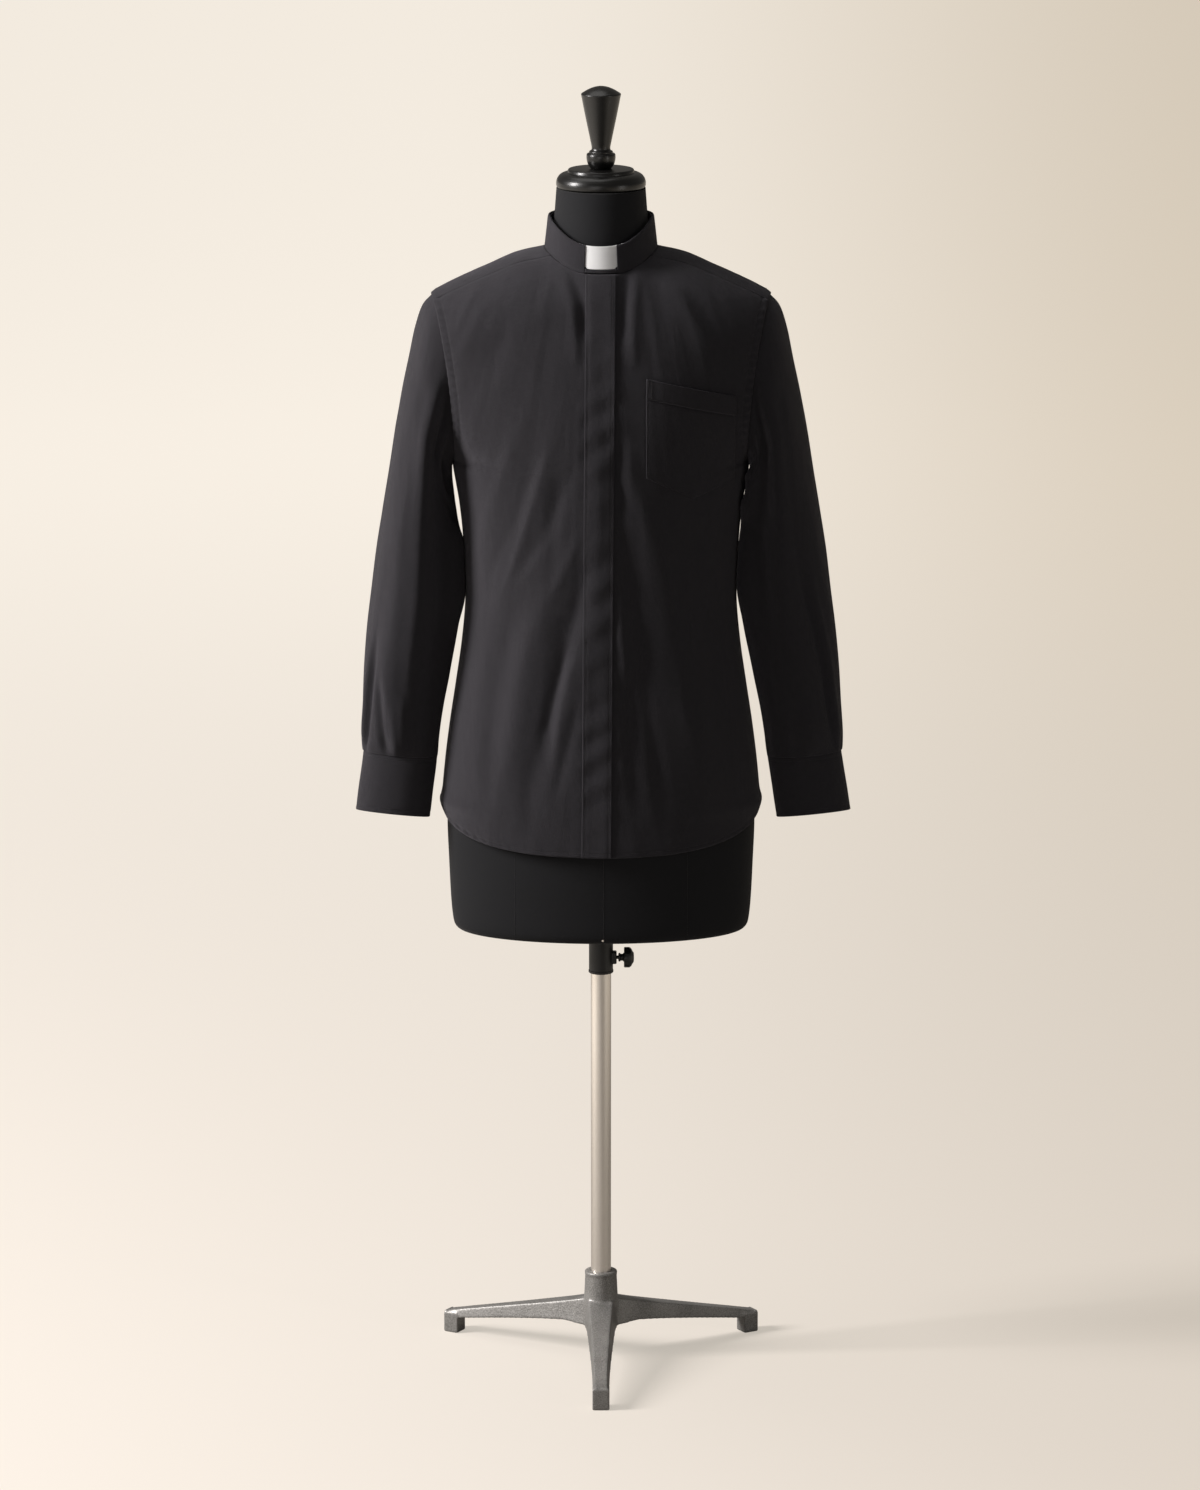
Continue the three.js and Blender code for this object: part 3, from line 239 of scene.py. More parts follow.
def cloth_shell(name: str, outer: Grid, thickness: float, centre: Grid, loop: bool = False) -> Piece:
    """Makes a closed sheet of cloth with rounded edges from the points of its outer face.

    Args:
        name: the piece's name.
        outer: rows and columns of points of the outer face.
        thickness: the cloth's thickness.
        centre: what the outer face turns away from.
        loop: whether the sheet is a tube, its last column meeting its first.

    Returns:
        The new object, with cloth coordinates as its UV map.
    """
    rows, columns = outer.shape[:2]
    normals = grid_normals(outer, loop, centre)
    inner = outer - normals * thickness
    across = np.linalg.norm(np.diff(outer, axis=1), axis=-1)
    down = np.linalg.norm(np.diff(outer, axis=0), axis=-1)
    u = np.concatenate([[0], np.cumsum(across.mean(0))])
    v = np.concatenate([[0], np.cumsum(down.mean(1))])
    uv = joined(u[None, :], v[:, None])
    index = np.arange(rows * columns).reshape(rows, columns)
    layers = [outer.reshape(-1, 3), inner.reshape(-1, 3)]
    coordinates = [uv.reshape(-1, 2)] * 2
    wrapped = np.concatenate([index, index[:, :1]], axis=1) if loop else index
    a, b = wrapped[:-1, :-1].ravel(), wrapped[:-1, 1:].ravel()
    c, d = wrapped[1:, 1:].ravel(), wrapped[1:, :-1].ravel()
    back = rows * columns
    faces = [np.stack([a, b, c, d], 1), np.stack([a, d, c, b], 1) + back]
    made = 2 * back
    inside = np.clip(np.arange(columns), 1, columns - 2)
    if loop:
        borders = [(index[0], index[1]), (index[-1][::-1], index[-2][::-1])]
    else:
        ring = np.concatenate([index[0], index[1:-1, -1], index[-1][::-1], index[1:-1, 0][::-1]])
        ends = index[1][inside], index[-2][inside][::-1]
        near = np.concatenate([ends[0], index[1:-1, -2], ends[1], index[1:-1, 1][::-1]])
        borders = [(ring, near)]
    for ring, near in borders:
        middle = (layers[0][ring] + layers[1][ring]) / 2
        bulge = unit(layers[0][ring] - layers[0][near]) * thickness * 0.4
        layers.append(middle + bulge)
        coordinates.append(uv.reshape(-1, 2)[ring])
        mid = made + np.arange(len(ring))
        made += len(ring)
        after, mid_after = np.roll(ring, -1), np.roll(mid, -1)
        faces.append(np.stack([ring, mid, mid_after, after], 1))
        faces.append(np.stack([mid, ring + back, after + back, mid_after], 1))
    points = np.concatenate(layers)
    every = np.concatenate(faces)
    quads = points[every]
    volume = np.sum(quads[:, 0] * np.cross(quads[:, 1], quads[:, 2]))
    volume += np.sum(quads[:, 0] * np.cross(quads[:, 2], quads[:, 3]))
    if volume < 0:
        every = every[:, ::-1]
    return write_mesh(name, points, every.tolist(), np.concatenate(coordinates) * MM)


def closed_rings(name: str, rings: Grid) -> Piece:
    """Makes a closed solid through rings of points, from its foot to its top."""
    count, sides = rings.shape[:2]
    middle = np.stack([rings[0].mean(0), rings[-1].mean(0)])
    points = np.concatenate([rings.reshape(-1, 3), middle])
    index = np.arange(count * sides).reshape(count, sides)
    after = np.roll(index, -1, axis=1)
    walls = np.stack([index[:-1], after[:-1], after[1:], index[1:]], -1).reshape(-1, 4).tolist()
    foot = [[count * sides, b, a] for a, b in zip(index[0], after[0])]
    top = [[count * sides + 1, a, b] for a, b in zip(index[-1], after[-1])]
    return write_mesh(name, points, walls + foot + top)


# ---------- finishes ----------
class Signal:
    """A socket of a node tree that takes part in shader maths."""

    def __init__(self, paint: "Paint", socket: bpy.types.NodeSocket) -> None:
        """Keeps the socket and the tree that it is in."""
        self.paint = paint
        self.socket = socket

    def __add__(self, other: "Signal | float") -> "Signal":
        """Adds two values."""
        return self.paint.maths("ADD", self, other)

    def __mul__(self, other: "Signal | float") -> "Signal":
        """Multiplies two values."""
        return self.paint.maths("MULTIPLY", self, other)

    def __sub__(self, other: "Signal | float") -> "Signal":
        """Takes the other value away."""
        return self.paint.maths("SUBTRACT", self, other)

    def __rsub__(self, other: float) -> "Signal":
        """Takes this value away from a number."""
        return self.paint.maths("SUBTRACT", other, self)

    def __truediv__(self, other: "Signal | float") -> "Signal":
        """Divides by the other value."""
        return self.paint.maths("DIVIDE", self, other)

    def __pow__(self, other: float) -> "Signal":
        """Raises to a power."""
        return self.paint.maths("POWER", self, other)

    __radd__ = __add__
    __rmul__ = __mul__


class Paint:
    """The nodes of one material, or of the world."""

    def __init__(self, name: str, world: bpy.types.World | None = None) -> None:
        """Starts an empty material, or empties the world."""
        self.material = world or bpy.data.materials.new(name)
        self.material.use_nodes = True
        self.tree = self.material.node_tree
        self.tree.nodes.clear()

    def node(
        self, kind: str, settings: dict | None = None, values: dict | None = None, output: int | str = 0
    ) -> Signal:
        """Adds a node.

        Args:
            kind: the node's type, as ShaderNode names it.
            settings: its own settings, set first; stops are a ramp's places and greys.
            values: numbers or links for its sockets.
            output: which of its outputs to return.

        Returns:
            That output.
        """
        made = self.tree.nodes.new(f"ShaderNode{kind}")
        for name, value in (settings or {}).items():
            if name == "stops":
                for element, (place, grey) in zip(made.color_ramp.elements, value):
                    element.position = place
                    element.color = (grey, grey, grey, 1)
            else:
                setattr(made, name, value)
        for name, value in (values or {}).items():
            if isinstance(value, Signal):
                self.tree.links.new(value.socket, made.inputs[name])
            else:
                made.inputs[name].default_value = value
        return Signal(self, made.outputs[output] if made.outputs else None)

    def maths(self, operation: str, *values: Signal | float) -> Signal:
        """Adds a Math node."""
        return self.node("Math", {"operation": operation}, dict(enumerate(values)))

    def tone(self, factor: Signal, dark: Colour, light: Colour) -> Signal:
        """Mixes two colours by a value."""
        values = {0: factor, 6: (*dark, 1), 7: (*light, 1)}
        return self.node("Mix", {"data_type": "RGBA"}, values, 2)

    def place(self) -> Signal:
        """Object coordinates, in metres."""
        return self.node("TexCoord", output="Object")

    def cloth_place(self) -> Signal:
        """The piece's own cloth coordinates, in metres."""
        return self.node("UVMap", {"uv_map": "UVMap"})

    def stretched(self, vector: Signal, scale: tuple[float, float, float]) -> Signal:
        """Scales a vector along each axis."""
        return self.node("VectorMath", {"operation": "MULTIPLY"}, {0: vector, 1: scale})

    def parts(self, vector: Signal) -> tuple[Signal, Signal, Signal]:
        """Splits a vector into its three numbers."""
        made = self.node("SeparateXYZ", values={0: vector})
        outputs = made.socket.node.outputs
        return Signal(self, outputs[0]), Signal(self, outputs[1]), Signal(self, outputs[2])

    def noise(self, vector: Signal, scale: float, detail: float = 2, roughness: float = 0.5) -> Signal:
        """Adds a Noise node and returns its value."""
        values = {"Vector": vector, "Scale": scale, "Detail": detail, "Roughness": roughness}
        return self.node("TexNoise", values=values)

    def bump(self, height: Signal, distance: float, strength: float, below: Signal | None = None) -> Signal:
        """Turns a height into a normal, on top of another if one is given."""
        values = {"Height": height, "Distance": distance, "Strength": strength}
        if below is not None:
            values["Normal"] = below
        return self.node("Bump", values=values)

    def finish(self, **values: Signal | float | tuple) -> Material:
        """Ends the material with a Principled shader; a name's underscores stand for spaces."""
        sockets = {name.replace("_", " "): value for name, value in values.items()}
        shader = self.node("BsdfPrincipled", values=sockets)
        self.node("OutputMaterial", values={"Surface": shader})
        return self.material


@dataclass(frozen=True)
class Shirting:
    """Black poly-cotton poplin: a plain weave with slubs, a soft sheen and slightly worn tone."""

    name: str = "black_poplin"
    thread: float = 0.0005
    dark: Colour = (0.0165, 0.0155, 0.0182)
    light: Colour = (0.0335, 0.0312, 0.036)

    def paint(self) -> Material:
        """Builds the material."""
        paint = Paint(self.name)
        cloth = paint.cloth_place()
        u, v, _ = paint.parts(cloth)
        turn = 2 * math.pi / self.thread
        weave = paint.maths("SINE", u * turn) * paint.maths("SINE", v * turn)
        warp_slubs = paint.noise(paint.stretched(cloth, (1500, 90, 1)), 1, 2)
        weft_slubs = paint.noise(paint.stretched(cloth, (80, 1400, 1)), 1, 2)
        handling = paint.noise(paint.place(), 9, 4, 0.6)
        speckle = paint.noise(paint.stretched(cloth, (900, 900, 1)), 1, 3, 0.7)
        slubs = warp_slubs * 0.5 + weft_slubs * 0.5
        contrast = paint.node("MapRange", {}, {0: slubs * 0.6 + speckle * 0.4, 1: 0.4, 2: 0.6})
        tone = paint.tone(handling * 0.45 + contrast * 0.55, self.dark, self.light)
        threads = paint.bump(weave * 0.5 + warp_slubs + weft_slubs + speckle, 0.0004, 0.6)
        crumple = paint.noise(paint.stretched(paint.place(), (1, 1, 0.45)), 34, 3, 0.55)
        surface = paint.bump(crumple, 0.003, 0.4, threads)
        return paint.finish(
            Base_Color=tone,
            Roughness=0.62 + handling * 0.16,
            Specular_IOR_Level=0.12,
            Sheen_Weight=0.16,
            Sheen_Roughness=0.45,
            Sheen_Tint=(0.86, 0.82, 0.9, 1),
            Normal=surface,
        )


@dataclass(frozen=True)
class Thread:
    """Black sewing thread, twisted, a little shinier than the cloth."""

    name: str = "black_thread"
    colour: Colour = (0.03, 0.028, 0.031)

    def paint(self) -> Material:
        """Builds the material."""
        paint = Paint(self.name)
        twist = paint.noise(paint.place(), 2200, 1)
        tone = paint.tone(twist, (0.02, 0.019, 0.021), self.colour)
        normal = paint.bump(twist, 0.0001, 0.4)
        return paint.finish(Base_Color=tone, Roughness=0.5, Specular_IOR_Level=0.35, Normal=normal)


@dataclass(frozen=True)
class Jersey:
    """Fine black jersey, stretched over the padded form: wales down it and courses round it."""

    name: str = "black_jersey"
    wale: float = 0.0011
    girth: float = 0.14

    def paint(self) -> Material:
        """Builds the material."""
        paint = Paint(self.name)
        x, y, z = paint.parts(paint.place())
        around = paint.maths("ARCTAN2", y - AXIS_Y * MM, x) * self.girth
        wales = paint.maths("SINE", around * (2 * math.pi / self.wale))
        courses = paint.maths("SINE", z * (2 * math.pi / self.wale * 1.4))
        nap = paint.noise(paint.place(), 900, 3, 0.6)
        wear = paint.noise(paint.place(), 7, 3)
        tone = paint.tone(nap * 0.6 + wear * 0.4, (0.0062, 0.0064, 0.0074), (0.0128, 0.0128, 0.0146))
        normal = paint.bump(wales * 0.5 + courses * 0.3 + nap, 0.0002, 0.3)
        return paint.finish(
            Base_Color=tone,
            Roughness=0.75 + nap * 0.15,
            Specular_IOR_Level=0.2,
            Sheen_Weight=0.08,
            Sheen_Roughness=0.4,
            Sheen_Tint=(0.9, 0.88, 0.86, 1),
            Normal=normal,
        )


@dataclass(frozen=True)
class Lacquer:
    """Black satin lacquer on turned wood: faint turning rings, open pores and a little dust."""

    name: str = "black_lacquer"

    def paint(self) -> Material:
        """Builds the material."""
        paint = Paint(self.name)
        place = paint.place()
        x, y, z = paint.parts(place)
        radius = paint.maths("SQRT", x * x + (y - AXIS_Y * MM) ** 2)
        rings = paint.maths("SINE", (radius + z) * 5200)
        pores = paint.noise(paint.stretched(place, (700, 700, 160)), 1, 3, 0.6)
        specks = paint.noise(place, 420, 2)
        dust = paint.node("ValToRGB", {"stops": ((0.66, 0), (0.86, 1))}, {0: specks})
        tone = paint.tone(dust, (0.0032, 0.003, 0.0029), (0.014, 0.0133, 0.0126))
        normal = paint.bump(rings * 0.08 + pores, 0.0002, 0.25)
        return paint.finish(
            Base_Color=tone,
            Roughness=0.26 + pores * 0.1 + dust * 0.1,
            Specular_IOR_Level=0.42,
            Coat_Weight=0.12,
            Coat_Roughness=0.22,
            Normal=normal,
        )


@dataclass(frozen=True)
class WhitePlastic:
    """The collar tab's white plastic: smooth, satin, with the faintest unevenness."""

    name: str = "tab_white_plastic"

    def paint(self) -> Material:
        """Builds the material."""
        paint = Paint(self.name)
        mottle = paint.noise(paint.place(), 160, 2)
        tone = paint.tone(mottle, (0.9, 0.9, 0.895), (0.94, 0.94, 0.935))
        normal = paint.bump(paint.noise(paint.place(), 1500, 2), 0.00008, 0.15)
        return paint.finish(
            Base_Color=tone,
            Roughness=0.34 + mottle * 0.06,
            Subsurface_Weight=0.5,
            Subsurface_Radius=(1, 1, 1),
            Subsurface_Scale=0.003,
            Normal=normal,
        )


@dataclass(frozen=True)
class BlackPlastic:
    """Moulded black plastic with a fine spark-eroded grain."""

    name: str = "black_moulded_plastic"
    roughness: float = 0.38

    def paint(self) -> Material:
        """Builds the material."""
        paint = Paint(self.name)
        grain = paint.noise(paint.place(), 2600, 2, 0.6)
        scuffs = paint.noise(paint.place(), 60, 4, 0.6)
        tone = paint.tone(scuffs, (0.005, 0.005, 0.005), (0.012, 0.0118, 0.0115))
        normal = paint.bump(grain, 0.0001, 0.25)
        return paint.finish(Base_Color=tone, Roughness=self.roughness + scuffs * 0.12, Normal=normal)


@dataclass(frozen=True)
class HammeredCoat:
    """Grey hammered coat on a casting: small dimples with a metallic fleck."""

    name: str = "grey_hammered_coat"

    def paint(self) -> Material:
        """Builds the material."""
        paint = Paint(self.name)
        place = paint.place()
        cells = {"Vector": place, "Scale": 340, "Smoothness": 0.6}
        dimples = paint.node("TexVoronoi", {"feature": "SMOOTH_F1"}, cells)
        fleck = paint.noise(place, 700, 3, 0.75)
        cloud = paint.noise(place, 26, 3)
        mixed = paint.node("MapRange", {}, {0: fleck * 0.75 + cloud * 0.25, 1: 0.36, 2: 0.64})
        tone = paint.tone(mixed, (0.135, 0.131, 0.124), (0.4, 0.388, 0.37))
        normal = paint.bump(dimples + fleck * 0.4, 0.0006, 0.3)
        return paint.finish(Base_Color=tone, Metallic=0.42, Roughness=0.36 + fleck * 0.2, Normal=normal)


@dataclass(frozen=True)
class BrushedSteel:
    """Satin steel tube, brushed round its girth, with faint marks from the sliding socket."""

    name: str = "brushed_steel"

    def paint(self) -> Material:
        """Builds the material."""
        paint = Paint(self.name)
        place = paint.place()
        brushing = paint.noise(paint.stretched(place, (40, 40, 5200)), 1, 3, 0.6)
        marks = paint.noise(paint.stretched(place, (160, 160, 5)), 1, 4, 0.6)
        tone = paint.tone(brushing * 0.5 + marks * 0.5, (0.9, 0.83, 0.755), (1.0, 0.95, 0.885))
        normal = paint.bump(brushing, 0.00005, 0.35)
        roughness = 0.24 + brushing * 0.1 + marks * 0.08
        return paint.finish(Base_Color=tone, Metallic=0.9, Roughness=roughness, Normal=normal)


# ---------- the body of the shirt as one surface ----------
def both(front: float, back: float) -> dict:
    """Returns a field with a size for the front and one for the back."""
    return field(default_factory=lambda: {Face.FRONT: front, Face.BACK: back})


@dataclass(frozen=True)
class Crease:
    """A soft trough or ridge of the body, on a bent line from its head down to its foot."""

    head: tuple[float, float]
    middle: tuple[float, float]
    foot: tuple[float, float]
    rise: float
    spread: float
    lean: float = 0.0

    def height(self, x: Grid, z: Grid) -> Grid:
        """Returns how far the crease lifts the cloth at each place."""
        places = np.array([self.foot, self.middle, self.head], float)
        path = smooth_read(places[:, 1], places[:, 0], z)
        slope = (self.head[0] - self.foot[0]) / (self.head[1] - self.foot[1])
        across = (x - path) / math.hypot(1, slope)
        width = self.spread * (1 + self.lean * np.tanh(across / self.spread))
        length = self.head[1] - self.foot[1]
        fade = smooth((self.head[1] + 0.12 * length - z) / (0.4 * length))
        fade = fade * smooth((z - self.foot[1] + 0.12 * length) / (0.4 * length))
        return self.rise * fade / np.cosh(1.55 * across / width)


def crease_rows(kind: type, *rows: tuple[float, ...]) -> tuple:
    """Makes creases of a kind, each row with its head, middle, foot, rise, spread and, if any, its lean."""
    return tuple(kind(row[:2], row[2:4], row[4:6], *row[6:]) for row in rows)


FRONT_CREASES = crease_rows(
    Crease,
    (-54, 1211, -84, 1088, -132, 949, 2.6, 14, 0.3), (-37, 1150, -66, 1075, -112, 1000, -3.2, 12, -0.3),
    (-89, 1225, -130, 1100, -163, 985, 2.4, 12), (-70, 1180, -104, 1085, -146, 985, -1.8, 9),
    (-20, 1020, -50, 905, -76, 760, -7.0, 15, -0.35), (-58, 1010, -92, 905, -118, 735, 5.0, 19, 0.3),
    (-96, 985, -126, 880, -142, 760, -2.4, 13), (-30, 925, -46, 865, -57, 790, 2.6, 7, 0.2),
    (-26, 870, -38, 815, -56, 740, -2.6, 8), (-27, 1068, -38, 1040, -62, 985, 2.0, 8),
    (-134, 930, -148, 850, -152, 730, 2.6, 14), (-80, 800, -86, 750, -84, 695, -1.8, 9),
    (25, 1190, 20, 1142, 32, 1090, -3.2, 8, 0.2), (40, 1150, 98, 975, 146, 740, 6.0, 27, -0.3),
    (92, 870, 118, 800, 134, 715, 3.0, 14), (52, 1150, 96, 1000, 130, 850, -3.2, 17, 0.3),
    (20, 1120, 48, 945, 80, 705, -6.0, 18, 0.35), (34, 905, 42, 845, 46, 790, -2.6, 5, 0.2),
    (-40, 935, -58, 870, -74, 800, -2.2, 4.5, -0.2), (-64, 1170, -92, 1070, -120, 985, 1.6, 5, 0.2),
    (24, 900, 34, 820, 44, 720, -3.0, 9, 0.4), (24, 975, 27, 930, 32, 885, 1.8, 6),
    (58, 900, 72, 830, 88, 740, 1.6, 9), (107, 1100, 139, 989, 160, 890, -2.4, 15),
    (118, 985, 134, 880, 146, 750, -2.6, 14), (96, 1365, 140, 1306, 166, 1235, -2.4, 12, 0.3),
    (78, 1375, 112, 1328, 140, 1270, 1.8, 12), (-142, 1369, -158, 1342, -175, 1305, 1.4, 6),
    (-132, 1352, -152, 1318, -172, 1270, 1.6, 7), (-96, 1345, -128, 1290, -158, 1215, -1.6, 13),
    (-60, 1372, -84, 1318, -98, 1255, 1.3, 12), (-35, 1380, -23, 1345, -21, 1300, -3.2, 6),
    (-46, 1384, -34, 1335, -30, 1270, 2.4, 7), (30, 1386, 28, 1350, 25, 1300, -3.0, 6),
    (43, 1384, 39, 1340, 38, 1270, 2.4, 8),
)
BACK_CREASES = crease_rows(
    Crease,
    (-60, 1190, -84, 1010, -98, 790, 4.2, 17, 0.2), (-20, 1140, -34, 970, -44, 780, -4.2, 15),
    (38, 1170, 52, 980, 60, 750, 4.2, 17, -0.2), (92, 1130, 108, 960, 120, 780, -4.2, 16),
    (-126, 1090, -140, 960, -146, 770, -3.4, 14), (138, 1080, 146, 940, 150, 760, 3.0, 13),
    (6, 930, 10, 850, 6, 730, 2.6, 12), (-112, 1235, -136, 1190, -160, 1130, 2.2, 9),
    (108, 1240, 136, 1192, 162, 1128, 2.0, 9), (-86, 1262, -124, 1226, -158, 1176, -1.8, 8),
    (84, 1262, 126, 1222, 160, 1170, -1.8, 8), (74, 860, 82, 790, 84, 700, -2.4, 11),
    (-70, 850, -66, 780, -70, 695, -2.4, 11),
)


@dataclass(frozen=True)
class ShirtBody:
    """The outer face of the shirt's body: sizes of its sections, armholes, shoulders and neckline."""

    hem: float = 667.5
    hem_rise: float = 50
    back_tail: float = 12
    pit: tuple[float, float] = (181, 1140)
    tip: tuple[float, float] = (206, 1345)
    arm_hollow: dict = both(10, 5)
    arm_depth: dict = both(62, 58)
    cap_rise: dict = both(80, 50)
    arm_scoop: float = 80
    arm_turn: float = math.radians(32)
    arm_points: int = 20
    yoke_step: int = 3
    neck_side: float = 68.4
    neck_depth: dict = both(78, 62)
    corner_x: float = 61
    front_arc: float = 80
    back_arc: float = 65
    placket_top: float = 1378.4
    placket_lean: tuple[float, float] = (-5.5, -0.3)
    ridge: Table = Table(
        ("x", "z"),
        (
            (-40, 1412), (0, 1425), (40, 1412), (67, 1402.5), (103, 1394), (137, 1379.5), (171, 1364),
            (200, 1349.5), (206, 1345),
        ),
    )
    sections: Table = Table(
        ("z", "side", "front", "back"),
        (
            (640, 195.3, 112, 117.4), (660, 195.5, 113, 118), (715, 195.7, 115, 120),
            (765, 191.7, 117, 120), (815, 185.4, 118, 117), (865, 177.8, 118, 112),
            (915, 170.6, 118, 108), (967, 166, 118, 106), (1010, 167, 119, 107), (1052, 169, 120, 109),
            (1089, 173, 121, 112), (1114, 177.2, 121, 113), (1140, 181, 121, 115), (1220, 181, 118, 116),
            (1280, 181, 110, 109), (1330, 181, 98, 97), (1380, 181, 86, 85), (1425, 181, 78, 76),
        ),
    )
    ripples: tuple[Unevenness, Unevenness] = (Unevenness(3), Unevenness(8))

    def ridge_z(self, x: Grid) -> Grid:
        """Returns the height of the shoulders' top line."""
        return self.ridge.read("z", np.abs(x))

    @property
    def arm_middle(self) -> float:
        """The height of the armhole's middle."""
        return (self.tip[1] + self.pit[1]) / 2

    @property
    def arm_half(self) -> float:
        """Half of the armhole's height."""
        return (self.tip[1] - self.pit[1]) / 2

    def arm_z(self, step: Grid | float) -> Grid | float:
        """Returns the height of a point of the armhole, counted from the shoulder point."""
        return self.arm_middle + self.arm_half * np.cos(2 * np.pi * step / self.arm_points)

    def side_x(self, face: Face, z: Grid) -> Grid:
        """Returns the half width at the side seam or the armhole."""
        along = (np.minimum(z, self.tip[1]) - self.arm_middle) / self.arm_half
        straight = lerp(self.pit[0], self.tip[0], (along + 1) / 2)
        hollow = self.arm_hollow[face] * np.sqrt(np.maximum(0, 1 - along * along))
        flick = 2.4 * np.exp(-(((z - self.hem - self.hem_rise) / 9) ** 2))
        return np.where(z <= self.pit[1], self.sections.read("side", z) + flick, straight - hollow)

    def opening(self, z: Grid) -> Grid:
        """Returns 0 at and below the underarm, and 1 once the armhole has its full depth."""
        left = np.clip((self.pit[1] + self.arm_scoop - z) / self.arm_scoop, 0, 1)
        return np.where(z <= self.pit[1], 0.0, np.sqrt(1 - left * left))

    def limit(self, z: Grid) -> Grid:
        """Returns the turn round the body at its side edge."""
        return math.pi / 2 - self.arm_turn * self.opening(z)

    def depth(self, face: Face, turn: Grid, z: Grid) -> Grid:
        """Returns the distance before or behind the pole, before the shoulder rounds over."""
        edge = self.arm_depth[face] * self.opening(z)
        low = np.cos(self.limit(z))
        middle = self.sections.read(face.name.lower(), z)
        return edge + (middle - edge) * (np.cos(turn) - low) / (1 - low)

    def rounding(self, face: Face, z: Grid, ridge: Grid) -> Grid:
        """Returns the share of the depth that is left where the shoulder rounds over."""
        below = np.clip((ridge - z) / self.cap_rise[face], 0, 1)
        return np.sqrt(1 - (1 - below) ** 2)

    def turn_at(self, face: Face, x: Grid, z: Grid) -> Grid:
        """Returns the turn round the body that reaches x at a height."""
        return np.arcsin(np.clip(x * np.sin(self.limit(z)) / self.side_x(face, z), -1, 1))

    def depth_at(self, face: Face, x: Grid, z: Grid) -> Grid:
        """Returns that distance at x and a height."""
        return self.depth(face, self.turn_at(face, x, z), z)

    def flat_point(self, face: Face, turn: Grid, z: Grid) -> Grid:
        """Returns points of the face without its creases, eased where the armhole begins."""
        x = self.side_x(face, z) * np.sin(turn) / np.sin(self.limit(z))
        exact = self.depth(face, turn, z)
        near = [z + step for step in (-24, -16, -8, 8, 16, 24)]
        eased = (exact + sum(self.depth_at(face, x, high) for high in near)) / 7
        inner = smooth((self.side_x(face, z) - np.abs(x) - 6) / 50)
        inner = inner * smooth((z - 1080) / 30) * smooth((1250 - z) / 30)
        y = face.value * lerp(exact, eased, inner) * self.rounding(face, z, self.ridge_z(x))
        return joined(x, y, z)

    def placket_x(self, z: Grid) -> Grid:
        """Returns the middle of the placket at a height."""
        return lerp(*self.placket_lean, (z - self.hem) / (self.placket_top - self.hem))

    def creases(self, face: Face, x: Grid, z: Grid) -> Grid:
        """Returns how far creases, ripples and puckers lift the cloth."""
        rows = FRONT_CREASES if face is Face.FRONT else BACK_CREASES
        height = sum(row.height(x, z) for row in rows)
        wide, fine = self.ripples
        fan = x / (0.62 + np.clip(1260 - z, -160, 620) / 760)
        drape = 2.0 * wide.at(fan / 34 + 5, z / 190) + 0.9 * fine.at(fan / 15 + 3, z / 120)
        drape = drape + 0.3 * wide.at(fan / 7 + 11, z / 70)
        drape = drape * lerp(1, 0.6, smooth((z - 1130) / 90))
        height = height + drape * smooth((self.side_x(face, z) - np.abs(x)) / 26) * smooth((1395 - z) / 60)
        if face is Face.FRONT:
            height = height + self.placket_puckers(x, z)
        at_arm = smooth((z - 1110) / 40)
        return height * lerp(1, smooth((self.side_x(face, z) - np.abs(x) - 1) / 14), at_arm)

    def placket_puckers(self, x: Grid, z: Grid) -> Grid:
        """Returns the small slanting waves that the buttons pull into the placket."""
        off = x - self.placket_x(z)
        wave = np.cos(2 * np.pi * (z - 0.55 * off + 9 * np.sin(z / 67)) / 44)
        size = 0.65 + 0.35 * np.sin(z / 31 + 1)
        ends = smooth((1340 - z) / 60) * smooth((z - 668) / 30)
        return 0.9 * size * wave * np.exp(-((off / 21) ** 4)) * ends

    def arm_puckers(self, face: Face, x: Grid, z: Grid) -> Grid:
        """Returns the short waves that the topstitching draws up beside the armhole."""
        inside = self.side_x(face, z) - np.abs(x)
        high = smooth((z - 1150) / 40)
        band = 0.7 * smooth((7.4 - inside) / 2.2) - 0.5 * np.exp(-(((inside - 8.4) / 1.6) ** 2))
        size = np.exp(-(((inside - 4) / 6) ** 2))
        return high * (band + 0.75 * size * np.sin(2 * np.pi * z / 10 + 1.7 * np.sin(z / 23)))

    def point(self, face: Face, turn: Grid, z: Grid) -> Grid:
        """Works out points of the cloth's outer face.

        Args:
            face: front or back.
            turn: angle round the body from its middle.
            z: height.

        Returns:
            A point for each turn and height.
        """
        step, rise = 0.004, 0.5
        along = self.flat_point(face, turn + step, z) - self.flat_point(face, turn - step, z)
        up = self.flat_point(face, turn, z + rise) - self.flat_point(face, turn, z - rise)
        out = unit(np.cross(along, up)) * -face.value
        flat = self.flat_point(face, turn, z)
        height = self.creases(face, flat[..., 0], z) * np.abs(np.cos(turn))
        height = height + self.arm_puckers(face, flat[..., 0], z)
        return flat + out * height[..., None]

    def point_at(self, face: Face, x: Grid, z: Grid) -> Grid:
        """Returns points of the outer face at x and a height."""
        return self.point(face, self.turn_at(face, x, z), z)

